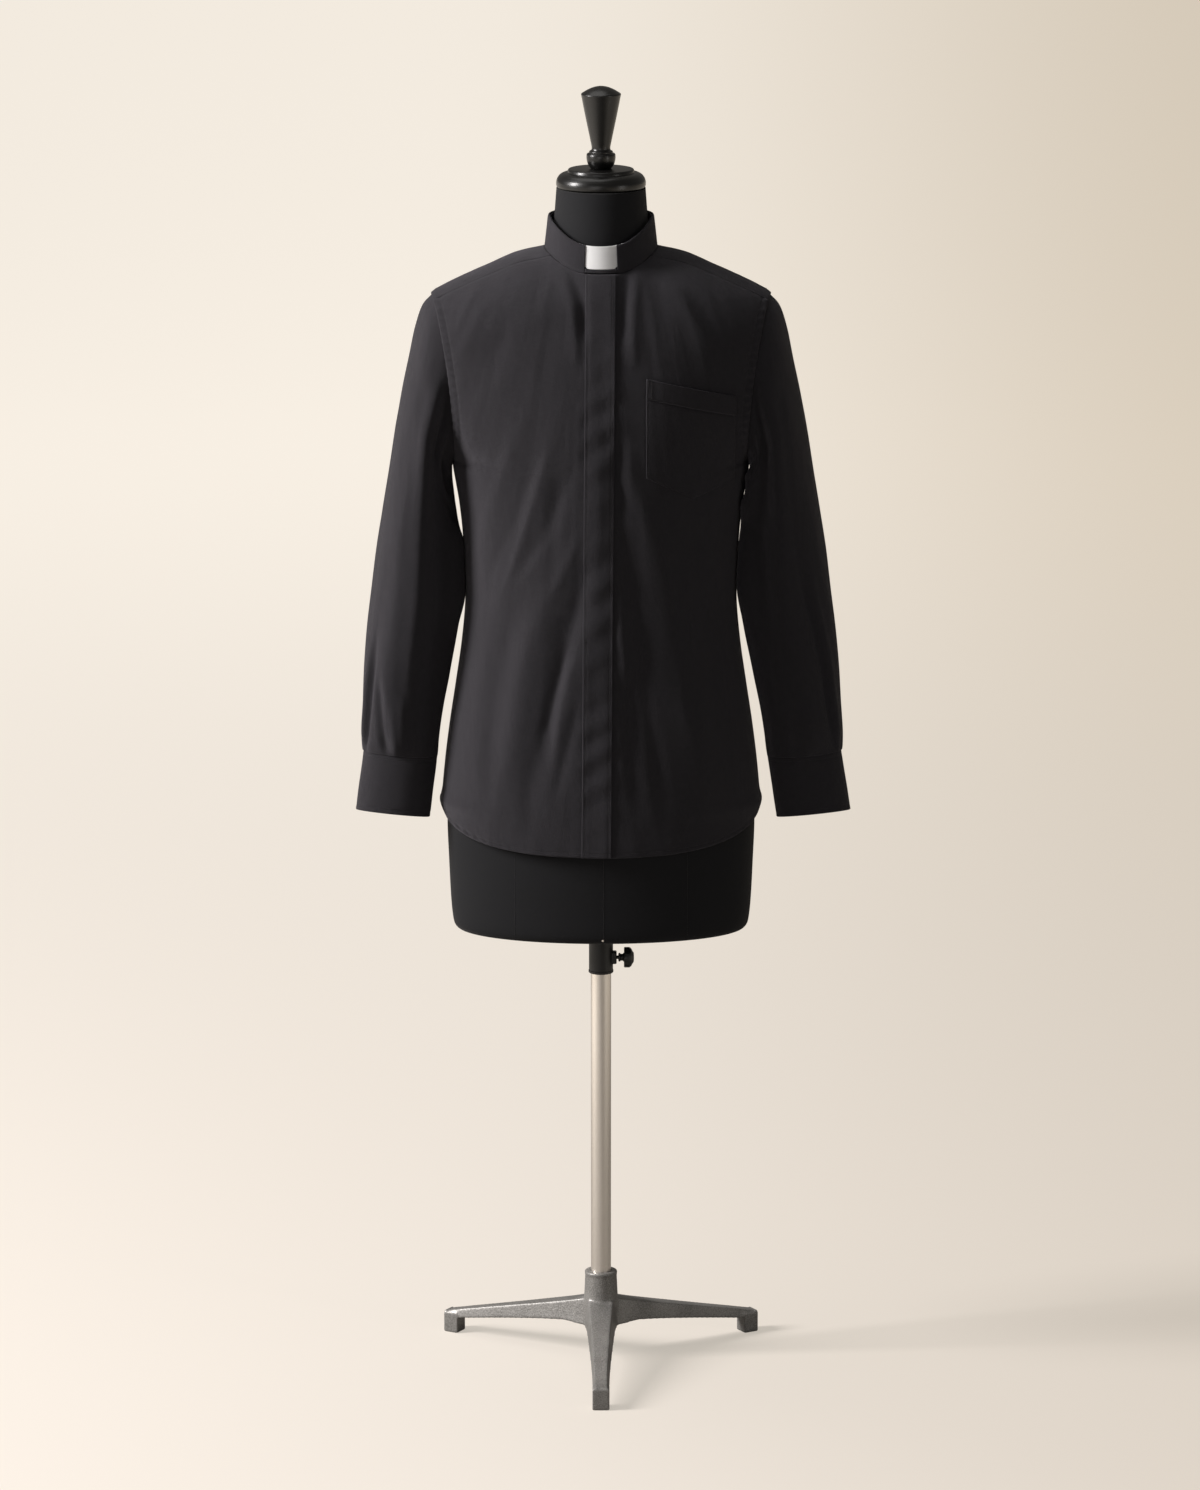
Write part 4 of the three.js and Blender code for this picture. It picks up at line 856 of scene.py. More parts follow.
    def shoulder_flat(self, x: Grid, way: Grid) -> Grid:
        """Returns points over the shoulder, a way along the cloth from its ridge, forwards below 0."""
        ridge = self.ridge_z(x)
        bend = np.where(way < 0, -way / self.front_arc, np.minimum(way / self.back_arc, math.pi / 2))
        rise = np.where(way < 0, self.cap_rise[Face.FRONT], self.cap_rise[Face.BACK])
        hanging = np.maximum(0, way - self.back_arc * math.pi / 2)
        z = ridge - rise * (1 - np.cos(bend)) - hanging
        front = -self.depth_at(Face.FRONT, x, z) * np.sin(bend)
        back = self.depth_at(Face.BACK, x, z) * np.sin(bend)
        return joined(x, np.where(way < 0, front, back), z)

    def neck_plan(self, angle: Grid) -> tuple[Grid, Grid]:
        """Returns the neckline seen from above, at an angle round it from the front."""
        deep = np.where(np.cos(angle) > 0, self.neck_depth[Face.FRONT], self.neck_depth[Face.BACK])
        return self.neck_side * np.sin(angle), -deep * np.cos(angle)

    def neckline(self, angle: Grid) -> tuple[Grid, Grid, Grid]:
        """Returns x, the way from the ridge and the height of the neckline, at an angle round it."""
        x, y = self.neck_plan(angle)
        fore = y < 0
        rise = np.where(fore, self.cap_rise[Face.FRONT], self.cap_rise[Face.BACK])
        z = self.ridge_z(x) - 20
        for _ in range(6):
            deep = np.where(fore, self.depth_at(Face.FRONT, x, z), self.depth_at(Face.BACK, x, z))
            bend = np.arcsin(np.clip(np.abs(y) / deep, 0, 1))
            z = self.ridge_z(x) - rise * (1 - np.cos(bend))
        return x, np.where(fore, -self.front_arc * bend, self.back_arc * bend), z

    def neck_angle(self, x: Grid | float) -> Grid | float:
        """Returns the angle round the neckline that reaches x in front."""
        return np.arcsin(np.clip(x / self.neck_side, -1, 1))

    def seam_drop(self, x: Grid) -> Grid:
        """Returns how far the front yoke seam lies below the shoulders' top line."""
        corner = np.array(self.corner_x, float)
        corner_drop = self.ridge_z(corner) - self.neckline(self.neck_angle(corner))[2]
        end_z = self.arm_z(1)
        end_x = self.side_x(Face.FRONT, end_z)
        tip_drop = self.ridge_z(end_x) - end_z
        return lerp(corner_drop, tip_drop, smooth((x - self.corner_x) / (end_x - self.corner_x)))

    def front_top(self, share: Grid) -> Grid:
        """Returns the height where a column of the front meets the neckline or the yoke seam."""
        reach = np.abs(share)
        z = np.full(reach.shape, self.tip[1])
        for _ in range(12):
            limit = self.limit(z)
            x = self.side_x(Face.FRONT, z) * np.sin(reach * limit) / np.sin(limit)
            neck = self.neckline(self.neck_angle(x))[2]
            z = np.where(x < self.corner_x, neck, self.ridge_z(x) - self.seam_drop(x))
        return z

    def hem_z(self, face: Face, across: Grid) -> Grid:
        """Returns the height of the hem at a share of the way to the side seam."""
        tail = self.back_tail if face is Face.BACK else 0
        rise = np.abs(across) ** 2.5
        return self.hem - tail * (1 - rise) + self.hem_rise * rise


def seamed(length: float, step: float, first: Sequence[float], last: Sequence[float]) -> tuple[Grid, Grid]:
    """Places the lines of a panel: fine ones at fixed distances from each end, even ones between.

    Args:
        length: mean length of the panel.
        step: distance between the even lines.
        first: distances of the fine lines from the start.
        last: distances of the fine lines from the end.

    Returns:
        The share of the middle stretch, and the distance beyond its start (below 0) or its end.
    """
    share = spaced(length - first[-1] - last[-1], step)
    before = np.array(first[:-1], float) - first[-1]
    after = last[-1] - np.array(last[:-1], float)[::-1]
    shares = np.concatenate([np.zeros(len(before)), share, np.ones(len(after))])
    beyond = np.concatenate([before, np.zeros(len(share)), after])
    return shares, beyond


def groove(distance: Grid, at: float, depth: float = 0.3, half: float = 0.9) -> Grid:
    """Returns how far a row of stitches draws the cloth in, at a distance from its edge."""
    return -depth * np.exp(-(((distance - at) / half) ** 2))


HEM_LINES = (0, 1.6, 3.4, 4.4, 5.2, 6.0, 7.0, 9.0)
SEAM_LINES = (0, 1.5, 3.5, 6.0, 7.6, 8.4, 9.2, 10.8, 14)
TOP_LINES = (0, 1.4, 3, 6)
HEM_STITCH, SEAM_STITCH = 5.2, 8.4
HEM_ROW, SEAM_COLUMN = HEM_LINES.index(HEM_STITCH), SEAM_LINES.index(SEAM_STITCH)


def hemmed(points: Grid, from_hem: Grid) -> Grid:
    """Draws a panel in along its hem's stitching, with the short waves beside it."""
    wave = np.sin(2 * np.pi * (points[..., 0] + 0.6 * from_hem) / 10.5)
    height = groove(from_hem, HEM_STITCH) + 0.4 * wave * np.exp(-(((from_hem - 4) / 4) ** 2))
    return points + grid_normals(points, False, np.zeros(3)) * height[..., None]


# ---------- sewing ----------
@dataclass(frozen=True)
class Sewing:
    """Rows of lockstitches: each stitch is a small spindle of thread, half sunk in the cloth."""

    pitch: float = 3.1
    length: float = 2.3
    radius: float = 0.26
    sides: int = 5
    lift: float = 0.12

    def row(self, path: Grid, out: Grid) -> tuple[Grid, Grid]:
        """Lays stitches along a path.

        Args:
            path: points of the seam.
            out: the cloth's outward direction at each.

        Returns:
            Vertices and faces of the stitches.
        """
        lengths = np.concatenate([[0], np.cumsum(np.linalg.norm(np.diff(path, axis=0), axis=1))])
        count = max(1, int(lengths[-1] / self.pitch))
        middles = (np.arange(count) + 0.5) * lengths[-1] / count

        def read(values: Grid, at: Grid) -> Grid:
            """Returns values at lengths along the path."""
            return np.stack([np.interp(at, lengths, values[:, i]) for i in range(3)], axis=1)

        centre = read(path, middles)
        along = unit(read(path, middles + 0.4) - read(path, middles - 0.4))
        up = read(out, middles)
        up = unit(up - along * np.sum(up * along, axis=1, keepdims=True))
        side = np.cross(along, up)
        centre = centre + up * self.lift
        turns = 2 * np.pi * np.arange(self.sides) / self.sides
        half = self.length / 2
        points = []
        for place, radius in ((-0.62 * half, self.radius), (0.62 * half, self.radius)):
            for turn in turns:
                points.append(centre + along * place + (side * np.cos(turn) + up * np.sin(turn)) * radius)
        dip = up * self.radius * 1.3
        points.extend([centre - along * half - dip, centre + along * half - dip])
        vertices = np.stack(points, axis=1)
        n = self.sides
        faces = []
        for k in range(n):
            after = (k + 1) % n
            faces.append([k, after, after + n, k + n])
            faces.append([2 * n, after, k, 2 * n])
            faces.append([2 * n + 1, k + n, after + n, 2 * n + 1])
        offsets = np.arange(count)[:, None, None] * vertices.shape[1]
        return vertices.reshape(-1, 3), (np.array(faces)[None] + offsets).reshape(-1, 4)

    def sew(self, name: str, rows: Sequence[tuple[Grid, Grid]]) -> Piece:
        """Joins rows of stitches in one piece.

        Args:
            name: the piece's name.
            rows: the path and outward directions of each row.

        Returns:
            The new object.
        """
        points, faces, made = [], [], 0
        for path, out in rows:
            vertices, quads = self.row(path, out)
            points.append(vertices)
            faces.append(quads + made)
            made += len(vertices)
        quads = np.concatenate(faces)
        listed = [q[:3] if q[0] == q[3] else q for q in quads.tolist()]
        return write_mesh(name, np.concatenate(points), listed)


SEWING = Sewing()


@cache
def material(finish: type) -> Material:
    """Returns a finish's material, built once."""
    return finish().paint()


def dress(piece: Piece, finish: type, body: Body, slot: str, *nodes: str) -> Piece:
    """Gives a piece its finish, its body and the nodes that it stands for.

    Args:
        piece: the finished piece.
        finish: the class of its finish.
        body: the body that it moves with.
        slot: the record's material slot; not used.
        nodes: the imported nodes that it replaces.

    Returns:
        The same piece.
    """
    piece.data.materials.clear()
    piece.data.materials.append(material(finish))
    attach(piece, body.value)
    if nodes:
        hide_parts(*nodes)
    LOG.info("%s: %d faces", piece.name, len(piece.data.polygons))
    return piece


def shirt_piece(name: str, points: Grid, wall: float, centre: Grid, *nodes: str, loop: bool = False) -> Piece:
    """Makes a piece of the shirt from its outer points and dresses it.

    Args:
        name: the piece's name, without the shirt's.
        points: its outer face.
        wall: the cloth's thickness.
        centre: what that face turns away from.
        nodes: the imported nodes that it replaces.
        loop: whether it is a tube.

    Returns:
        The piece.
    """
    shell = cloth_shell(f"shirt_{name}", points, wall, centre, loop)
    return dress(shell, Shirting, Body.FORM, "shirting", *nodes)


def stitches(name: str, *rows: tuple[Grid, Grid], slot: str = "shirting") -> Piece:
    """Sews rows of stitches, each along a path with its outward directions."""
    return dress(SEWING.sew(f"{name}_stitches", rows), Thread, Body.FORM, slot)


# ---------- panels ----------
@dataclass
class Panels:
    """The fronts, back, yoke, placket and pocket."""

    body: ShirtBody
    cloth: float = 1.3
    trim: float = 1.1
    gap: float = 0.3
    laid: float = 0.6
    step: float = 2.7
    side_radius: float = 116
    front_radius: float = 190

    def heights(self, low: Grid, top: Grid) -> tuple[Grid, Grid]:
        """Returns the heights of a panel's points and their distance from its hem."""
        shares, beyond = seamed(700, self.step, HEM_LINES, TOP_LINES)
        start, end = low + HEM_LINES[-1], top - TOP_LINES[-1]
        z = lerp(start, end, shares[:, None]) + beyond[:, None]
        return z, z - low

    def front_turns(self, sign: int, z: Grid, shares: Grid, beyond: Grid) -> Grid:
        """Returns the turns of a front's columns at their heights."""
        start = self.body.turn_at(Face.FRONT, self.body.placket_x(z) + sign * self.gap / 2, z) * sign
        edge = self.body.limit(z) - self.gap / 2 / self.body.side_x(Face.FRONT, z)
        inner, outer = start + 3 / self.front_radius, edge - SEAM_LINES[-1] / self.side_radius
        radius = np.where(beyond > 0, self.side_radius, self.front_radius)
        return lerp(inner, outer, shares) + beyond / radius

    def front_grid(self, hand: Hand) -> Grid:
        """Returns the points of a front."""
        sign = hand.value
        columns = seamed(190, self.step, (0, 1.5, 3), SEAM_LINES)
        ends = []
        for place in (self.body.hem, self.body.tip[1]):
            height = np.full(columns[0].shape, float(place))
            ends.append(np.clip(self.front_turns(sign, height, *columns) / self.body.limit(height), 0, 1))
        low = self.body.hem_z(Face.FRONT, ends[0])
        top = self.body.front_top(ends[1]) - self.gap
        z, from_hem = self.heights(low, top)
        turn = self.front_turns(sign, z, columns[0][None, :], columns[1][None, :])
        points = self.body.point(Face.FRONT, sign * turn, z)
        return hemmed(points, from_hem)

    def front(self, hand: Hand) -> None:
        """Makes a front with its hem, armhole topstitching and side seam."""
        points = self.front_grid(hand)
        name = f"front_{hand.word}"
        piece = shirt_piece(name, points, self.cloth, upright(points), name)
        normals = grid_normals(points, False, np.zeros(3))
        hem = (points[HEM_ROW, 4:], normals[HEM_ROW, 4:])
        sewn = stitches(name, hem, self.arm_row(points, normals, -1 - SEAM_COLUMN))

    def arm_row(self, points: Grid, normals: Grid, column: int) -> tuple[Grid, Grid]:
        """Returns the path of the stitches beside an armhole, and its outward directions."""
        arm = points[:, column, 2] > self.body.pit[1] - 4
        return points[arm, column], normals[arm, column]

    def back_grid(self) -> Grid:
        """Returns the points of the back."""
        shares, beyond = seamed(400, self.step, SEAM_LINES, SEAM_LINES)
        edge_share = SEAM_LINES[-1] / (self.side_radius * math.pi / 2)
        across = lerp(-1 + edge_share, 1 - edge_share, shares) + beyond / SEAM_LINES[-1] * edge_share
        low = self.body.hem_z(Face.BACK, across)
        top = np.full(low.shape, self.body.arm_z(self.body.yoke_step) - self.gap)
        z, from_hem = self.heights(low, top)
        edge = self.body.limit(z) - self.gap / 2 / self.body.side_x(Face.BACK, z)
        near = edge - SEAM_LINES[-1] / self.side_radius
        turn = lerp(-near, near, shares[None, :]) + beyond[None, :] / self.side_radius
        points = self.body.point(Face.BACK, turn, z)
        return hemmed(points, from_hem)

    def back(self) -> None:
        """Makes the back with its hem and armhole topstitching."""
        points = self.back_grid()
        piece = shirt_piece("back", points, self.cloth, upright(points), "back")
        normals = grid_normals(points, False, np.zeros(3))
        arms = [self.arm_row(points, normals, column) for column in (SEAM_COLUMN, -1 - SEAM_COLUMN)]
        sewn = stitches("back", (points[HEM_ROW, 4:-4], normals[HEM_ROW, 4:-4]), *arms)

    def yoke_grid(self) -> Grid:
        """Returns the points of the yoke, from one front seam round the back of the neck to the other."""
        body = self.body
        arm_steps, seam_steps = body.yoke_step + 1, 10
        last = arm_steps + seam_steps
        step = np.concatenate([np.linspace(0, arm_steps, 41)[:-1], np.linspace(arm_steps, last, 71)])
        on_arm = step <= arm_steps
        z = body.arm_z(np.minimum(np.abs(step - 1), body.yoke_step))
        fore = step < 1
        arm_x = np.where(fore, body.side_x(Face.FRONT, z), body.side_x(Face.BACK, z))
        x = np.where(on_arm, arm_x, arm_x * (1 - (step - arm_steps) / seam_steps))
        drop = np.maximum(0, body.ridge_z(x) - z)
        rise_front, rise_back = body.cap_rise[Face.FRONT], body.cap_rise[Face.BACK]
        front_way = -body.front_arc * np.arccos(1 - np.minimum(drop, rise_front) / rise_front)
        bend = np.arccos(1 - np.minimum(drop, rise_back) / rise_back)
        back_way = body.back_arc * bend + np.maximum(0, drop - rise_back)
        way = np.where(fore, front_way, back_way)
        angle = lerp(body.neck_angle(body.corner_x), math.pi, step / last)
        neck_x, neck_way, _ = body.neckline(angle)
        share = spaced(140, self.step)[None, :]
        grid_x = lerp(neck_x[:, None], x[:, None], share)
        grid_way = lerp(neck_way[:, None], way[:, None], share)
        seam_way = -body.front_arc * np.arccos(1 - body.seam_drop(grid_x[0]) / rise_front)
        grid_way = grid_way + (seam_way - grid_way[0])[None, :] * np.maximum(0, 1 - step)[:, None]
        right = self.shoulder_points(grid_x, grid_way, 1)
        left = self.shoulder_points(grid_x[:-1], grid_way[:-1], -1)
        return np.concatenate([right, left[::-1]])

    def shoulder_points(self, x: Grid, way: Grid, sign: int) -> Grid:
        """Returns points of the yoke on one side, with its slight unevenness."""
        step = 0.6
        flat, x_way = self.body.shoulder_flat, sign * x
        along = flat(x_way + step, way) - flat(x_way - step, way)
        down = flat(x_way, way + step) - flat(x_way, way - step)
        out = unit(np.cross(along, down))
        wide, fine = self.body.ripples
        inside = smooth((x - 66) / 20) * smooth((196 - x) / 20)
        uneven = (0.8 * wide.at(x / 40 + 3, way / 30) + 0.3 * fine.at(x / 14, way / 12)) * inside
        return flat(x_way, way) + out * uneven[..., None]

    def yoke(self) -> None:
        """Makes the yoke with its seams' topstitching."""
        points = self.yoke_grid()
        centre = np.array([0, 0, 1250.0])
        piece = shirt_piece("yoke", points, self.cloth, centre, "yoke")
        normals = grid_normals(points, False, centre)
        far, middle = points.shape[1] - 1, slice(42, -42)
        rows = [(points[end] * 0.6 + points[near] * 0.4, normals[end]) for end, near in ((0, 1), (-1, -2))]
        rows.append((points[middle, far] * 0.5 + points[middle, far - 1] * 0.5, normals[middle, far]))
        rows += [(points[part, far - 2], normals[part, far - 2]) for part in (slice(2, 40), slice(-40, -2))]
        sewn = stitches("yoke", *rows)

    def placket(self) -> None:
        """Makes the fly placket, sewn down at the wearer's right, with its free edge at the left."""
        body = self.body
        half = np.array([0, 5, 9, 12, 13.4, 14.2, 15, 16, 17.2, 17.6])
        offsets = np.concatenate([-half[:0:-1], half])
        low = 667.6
        top = body.placket_top - self.gap
        shares, beyond = seamed(top - low, 2.6, HEM_LINES, TOP_LINES)
        z = lerp(low + HEM_LINES[-1], top - TOP_LINES[-1], shares) + beyond
        x = body.placket_x(z)[:, None] + offsets[None, :]
        heights = np.broadcast_to(z[:, None], x.shape)
        free = smooth((offsets - 4) / 13.6)
        lift = self.laid + self.trim + 0.25 * free[None, :] * (0.6 + 0.4 * np.sin(heights / 38))
        lift = lift + groove(np.abs(offsets)[None, :], 14.2, 0.28) + groove(heights - low, HEM_STITCH, 0.25)
        flat = body.point_at(Face.FRONT, x, heights)
        out = grid_normals(flat, False, upright(flat))
        points = flat + out * lift[..., None]
        piece = shirt_piece("placket", points, self.trim, upright(points), "placket")
        rows = [(points[4:, column], out[4:, column]) for column in (4, -5)]
        sewn = stitches("placket", *rows, (points[HEM_ROW, 1:-1], out[HEM_ROW, 1:-1]))

    def pocket(self) -> None:
        """Makes the chest pocket: a pointed foot, a stitched band at its mouth and sewn corners."""
        body = self.body
        left, right, foot = 54.5, 161.5, 0.53
        sewn_edge, mouth_band = (0, 0.8, 1.6, 2.6), (0, 1, 2, 14, 20, 22.6, 23.3, 24, 24.7, 25.4, 28)
        u_lines, u_beyond = seamed(right - left, 3, sewn_edge, sewn_edge)
        v_lines, v_beyond = seamed(120, 3, sewn_edge, mouth_band)
        x = (lerp(left + 2.6, right - 2.6, u_lines) + u_beyond)[None, :]
        share = (x - left) / (right - left)
        top = lerp(1257, 1231, share)
        sides = lerp(1138, 1110, share / foot), lerp(1110, 1128, (share - foot) / (1 - foot))
        low = np.where(share < foot, *sides)
        z = lerp(low + 2.6, top - 28, v_lines[:, None]) + v_beyond[:, None]
        x = np.broadcast_to(x, z.shape)
        from_top = top - z
        band = 1.1 * smooth((23.6 - from_top) / 0.6) + groove(from_top, 24.2, 1.0, 0.7)
        mouth = 0.7 * smooth((8 - from_top) / 8) * np.sin(np.pi * np.clip(share, 0, 1))
        side = np.minimum(x - left, right - x)
        edge = np.minimum(side, z - low)
        lift = self.laid + 0.3 + self.trim + band + mouth + groove(edge, 1.6, 0.25, 0.8) * (from_top > 3)
        flat = body.point_at(Face.FRONT, x, z)
        out = grid_normals(flat, False, upright(flat))
        points = flat + out * lift[..., None]
        piece = shirt_piece("pocket", points, self.trim, upright(points), "pocket")
        every, band_row = slice(None), -1 - mouth_band.index(22.6)
        lines = ((every, 2), (every, -3), (2, every), (band_row, every), (slice(band_row, None), 4))
        sewn = stitches("pocket", *[(points[line], out[line]) for line in lines])

    def build(self) -> None:
        """Makes every panel."""
        for hand in Hand:
            self.front(hand)
        self.back()
        self.yoke()
        self.placket()
        self.pocket()


# ---------- sleeves and cuffs ----------
SLEEVE_COLUMNS = ("row", "out_x", "out_z", "in_x", "in_z", "depth", "y")
SLEEVE_ROWS = Table(
    SLEEVE_COLUMNS,
    (
        (0, 206, 1345, 181, 1140, 62, 0), (1, 218, 1331, 182.6, 1134, 63, 0),
        (2, 226.5, 1303, 182.6, 1126, 64, -1), (3, 233.5, 1266, 181.6, 1116, 64, -1),
        (4, 241.5, 1226, 180, 1105, 63, -2), (5, 249.5, 1183, 178, 1092, 61, -2),
        (6, 257.5, 1135, 175.5, 1075, 58, -3), (7, 266.5, 1082, 172.8, 1052, 55, -4),
        (8, 274.5, 1030, 171, 1018, 51, -5), (9, 280.5, 980, 169.8, 976, 47, -6),
        (10, 286.5, 930, 174.8, 930, 44, -6), (11, 290, 884, 183, 884, 41, -7),
        (12, 291.6, 842, 190.4, 840, 38, -7), (13, 293.2, 806, 196.4, 801, 34, -8),
        (14, 292.6, 780.6, 200, 773, 29, -8),
    ),
)
CUFF_ROWS = Table(
    SLEEVE_COLUMNS,
    (
        (0, 291.4, 779.8, 200.8, 772.2, 28, -8), (1, 296.4, 742.6, 205.6, 734, 28.4, -8.4),
        (2, 301.4, 705.4, 210.4, 695.8, 29, -9),
    ),
)


@dataclass(frozen=True)
class SleeveCrease:
    """A crease of a sleeve: degrees round it and rows down it, from its head to its foot."""

    head: tuple[float, float]
    middle: tuple[float, float]
    foot: tuple[float, float]
    rise: float
    spread: float

    def height(self, row: Grid, degrees: Grid) -> Grid:
        """Returns how far the crease lifts the cloth at each place."""
        places = np.array([self.head, self.middle, self.foot], float)
        path = smooth_read(places[:, 1], places[:, 0], row)
        across = (degrees - path + 540) % 360 - 180
        length = self.foot[1] - self.head[1]
        fade = smooth((row - self.head[1] + 0.15 * length) / (0.4 * length))
        fade = fade * smooth((self.foot[1] + 0.15 * length - row) / (0.4 * length))
        return self.rise * fade * np.exp(-((across / self.spread) ** 2))


SLEEVE_CREASES = {
    Hand.RIGHT: crease_rows(
        SleeveCrease,
        (84, 0.1, 90, 6.0, 96, 11.5, 4.6, 13), (118, 0.2, 124, 6.5, 128, 12.5, -9.0, 24),
        (116, 0.8, 128, 3.0, 158, 5.6, 4.6, 8), (130, 2.0, 146, 4.2, 166, 7.0, -3.4, 8),
        (160, 6.6, 160, 8.0, 158, 9.8, 8.6, 15), (62, 6.0, 66, 9.5, 70, 13.4, 2.2, 16),
        (104, 0.3, 110, 1.6, 118, 3.6, -4.0, 11), (38, 10.2, 30, 12.2, 24, 13.95, -5.6, 7),
        (24, 10.8, 18, 12.4, 12, 13.9, 2.6, 7), (50, 11.2, 62, 12.8, 70, 13.95, -3.4, 6),
        (74, 12.0, 80, 13.0, 84, 13.9, 2.0, 5), (84, 11.8, 92, 13.0, 96, 13.9, 2.0, 8),
        (12, 5.0, 14, 8.0, 20, 11.0, -2.0, 14),
    ),
    Hand.LEFT: crease_rows(
        SleeveCrease,
        (150, 2.1, 147, 3.9, 150, 6.3, 12.0, 17), (80, 0.1, 88, 5.0, 94, 10.5, 3.4, 12),
        (116, 0.2, 122, 5.0, 126, 11.5, -8.0, 24), (116, 1.0, 130, 3.2, 156, 5.8, 4.2, 8),
        (130, 2.2, 144, 4.4, 164, 7.0, -3.2, 8), (160, 5.2, 160, 7.4, 158, 9.8, 8.4, 15),
        (70, 8.0, 54, 10.4, 40, 13.6, -5.4, 8), (56, 8.6, 40, 10.8, 27, 13.4, 3.0, 8),
        (100, 0.3, 106, 1.6, 114, 3.6, -3.6, 11), (84, 8.8, 82, 11.0, 80, 13.4, 1.8, 16),
        (98, 12.0, 100, 13.2, 100, 13.9, -1.6, 9),
    ),
}
SLEEVE_BACK_CREASES = crease_rows(
    SleeveCrease,
    (205, 4.5, 205, 8.0, 206, 12.0, -4.0, 15), (262, 3.0, 262, 8.0, 264, 13.0, -4.4, 15),
    (318, 5.5, 318, 9.5, 316, 13.5, 3.0, 17), (236, 7.0, 236, 10.0, 240, 13.4, 3.0, 12),
    (290, 11.4, 288, 12.8, 286, 13.9, -3.0, 8), (306, 11.8, 308, 13.0, 308, 13.9, -2.6, 8),
    (184, 11.6, 182, 12.8, 180, 13.9, -1.8, 8),
)


@dataclass
class Sleeves:
    """Sleeves, the facings of their slits, cuffs and cuff buttons."""

    body: ShirtBody
    cloth: float = 1.3
    cuff_wall: float = 1.8
    tuck: float = 1.6
    cuff_tilt: float = 4.5
    swing: float = 3.4
    clearance: float = 1.6
    shaped_rows: float = 4
    button_around: float = 292
    slit_around: float = 278
    ripples: tuple[Unevenness, Unevenness] = (Unevenness(21), Unevenness(34))

    def tube(self, table: Table, sign: int, row: Grid, angle: Grid) -> Grid:
        """Returns points of a tube at a row and an angle round it, 0 at its top or outer edge."""
        out_x, out_z = table.read("out_x", row), table.read("out_z", row)
        in_x, in_z = table.read("in_x", row), table.read("in_z", row)
        turn = np.cos(angle)
        x = (out_x + in_x) / 2 + (out_x - in_x) / 2 * turn
        z = (out_z + in_z) / 2 + (out_z - in_z) / 2 * turn
        y = table.read("y", row) - table.read("depth", row) * np.sin(angle)
        if table is CUFF_ROWS:
            z = z + self.cuff_tilt * np.sin(angle) * row / 2
        if sign == Hand.LEFT.value:
            x = x + (self.swing + row if table is CUFF_ROWS else self.swing * smooth((row - 8) / 6))
        return joined(sign * x, y, z)

    def armhole(self, sign: int, angle: Grid) -> Grid:
        """Returns points of the armhole, tucked a little under the body's edge."""
        body = self.body
        z = body.arm_middle + body.arm_half * np.cos(angle)
        sides = []
        for face in Face:
            x = body.side_x(face, z)
            depth = body.arm_depth[face] * body.opening(z) * body.rounding(face, z, body.ridge_z(x))
            depth = np.maximum(0, depth - self.tuck)
            low = z - self.tuck * np.cos(angle)
            sides.append(joined(sign * (x - self.tuck), face.value * depth, low))
        return np.where((np.sin(angle) > 0)[..., None], sides[0], sides[1])

    def sleeve_point(self, sign: int, row: Grid, angle: Grid) -> Grid:
        """Returns points of the sleeve without its creases."""
        keep = 1 - smooth(row / self.shaped_rows)
        shift = self.armhole(sign, angle) - self.tube(SLEEVE_ROWS, sign, np.zeros_like(row), angle)
        return self.tube(SLEEVE_ROWS, sign, row, angle) + shift * keep[..., None]

    def creases(self, hand: Hand, row: Grid, angle: Grid) -> Grid:
        """Returns how far creases, gathers and ripples lift the sleeve."""
        degrees = np.degrees(angle)
        rows = SLEEVE_CREASES[hand] + SLEEVE_BACK_CREASES
        height = sum(crease.height(row, degrees) for crease in rows)
        wide, fine = self.ripples
        wave = 64 / (2 * np.pi)
        start = hand.value * 7
        ripple = 1.6 * wide.at(angle * wave / 8 + start, row / 3.6)
        ripple = ripple + 1.0 * fine.at(angle * wave / 4 + row / 6, row / 2.6 + start)
        ripple = ripple + 0.4 * fine.at(angle * wave / 2, row / 1.4)
        fade = smooth(row / 1.2) * smooth((14 - row) / 0.8)
        pleats = np.sin(angle * 11 + 2.2 * np.sin(angle * 2 + 1)) * (0.6 + 0.4 * np.sin(angle * 5))
        gather = 1.0 * pleats * smooth((row - 12.2) / 1.6)
        cap = 0.3 * np.sin(angle * 34) * smooth((0.6 - row) / 0.5) * smooth(row / 0.12)
        return height + ripple * fade + gather * smooth((14.1 - row) / 0.3) + cap

    def kept_clear(self, points: Grid) -> Grid:
        """Moves points below the underarm out sideways where they would lie inside the body."""
        x, y, z = points[..., 0], points[..., 1], points[..., 2]
        sections = self.body.sections
        deep = np.where(y < 0, sections.read("front", z), sections.read("back", z))
        reach = self.body.side_x(Face.FRONT, z) * np.sqrt(np.maximum(0, 1 - (y / deep) ** 2))
        low = z < self.body.pit[1] - 4
        clear = np.where(low, np.maximum(np.abs(x), reach + self.clearance), np.abs(x))
        return joined(np.sign(x) * clear, y, z)

    def sleeve(self, hand: Hand) -> None:
        """Makes a sleeve from the armhole to the cuff."""
        sign = hand.value
        row, angle = np.meshgrid(
            np.concatenate([[0, 0.03, 0.07], np.linspace(0.12, 13.9, 150), [13.94, 13.97, 14]]),
            np.linspace(0, 2 * np.pi, 108, endpoint=False),
            indexing="ij",
        )
        flat = self.sleeve_point(sign, row, angle)
        centre = flat.mean(axis=1, keepdims=True)
        out = grid_normals(flat, True, centre)
        out[0, :, 0] = 0
        out = unit(out)
        points = self.kept_clear(flat + out * self.creases(hand, row, angle)[..., None])
        name = f"sleeve_{hand.word}"
        piece = shirt_piece(name, points, self.cloth, centre, name, loop=True)

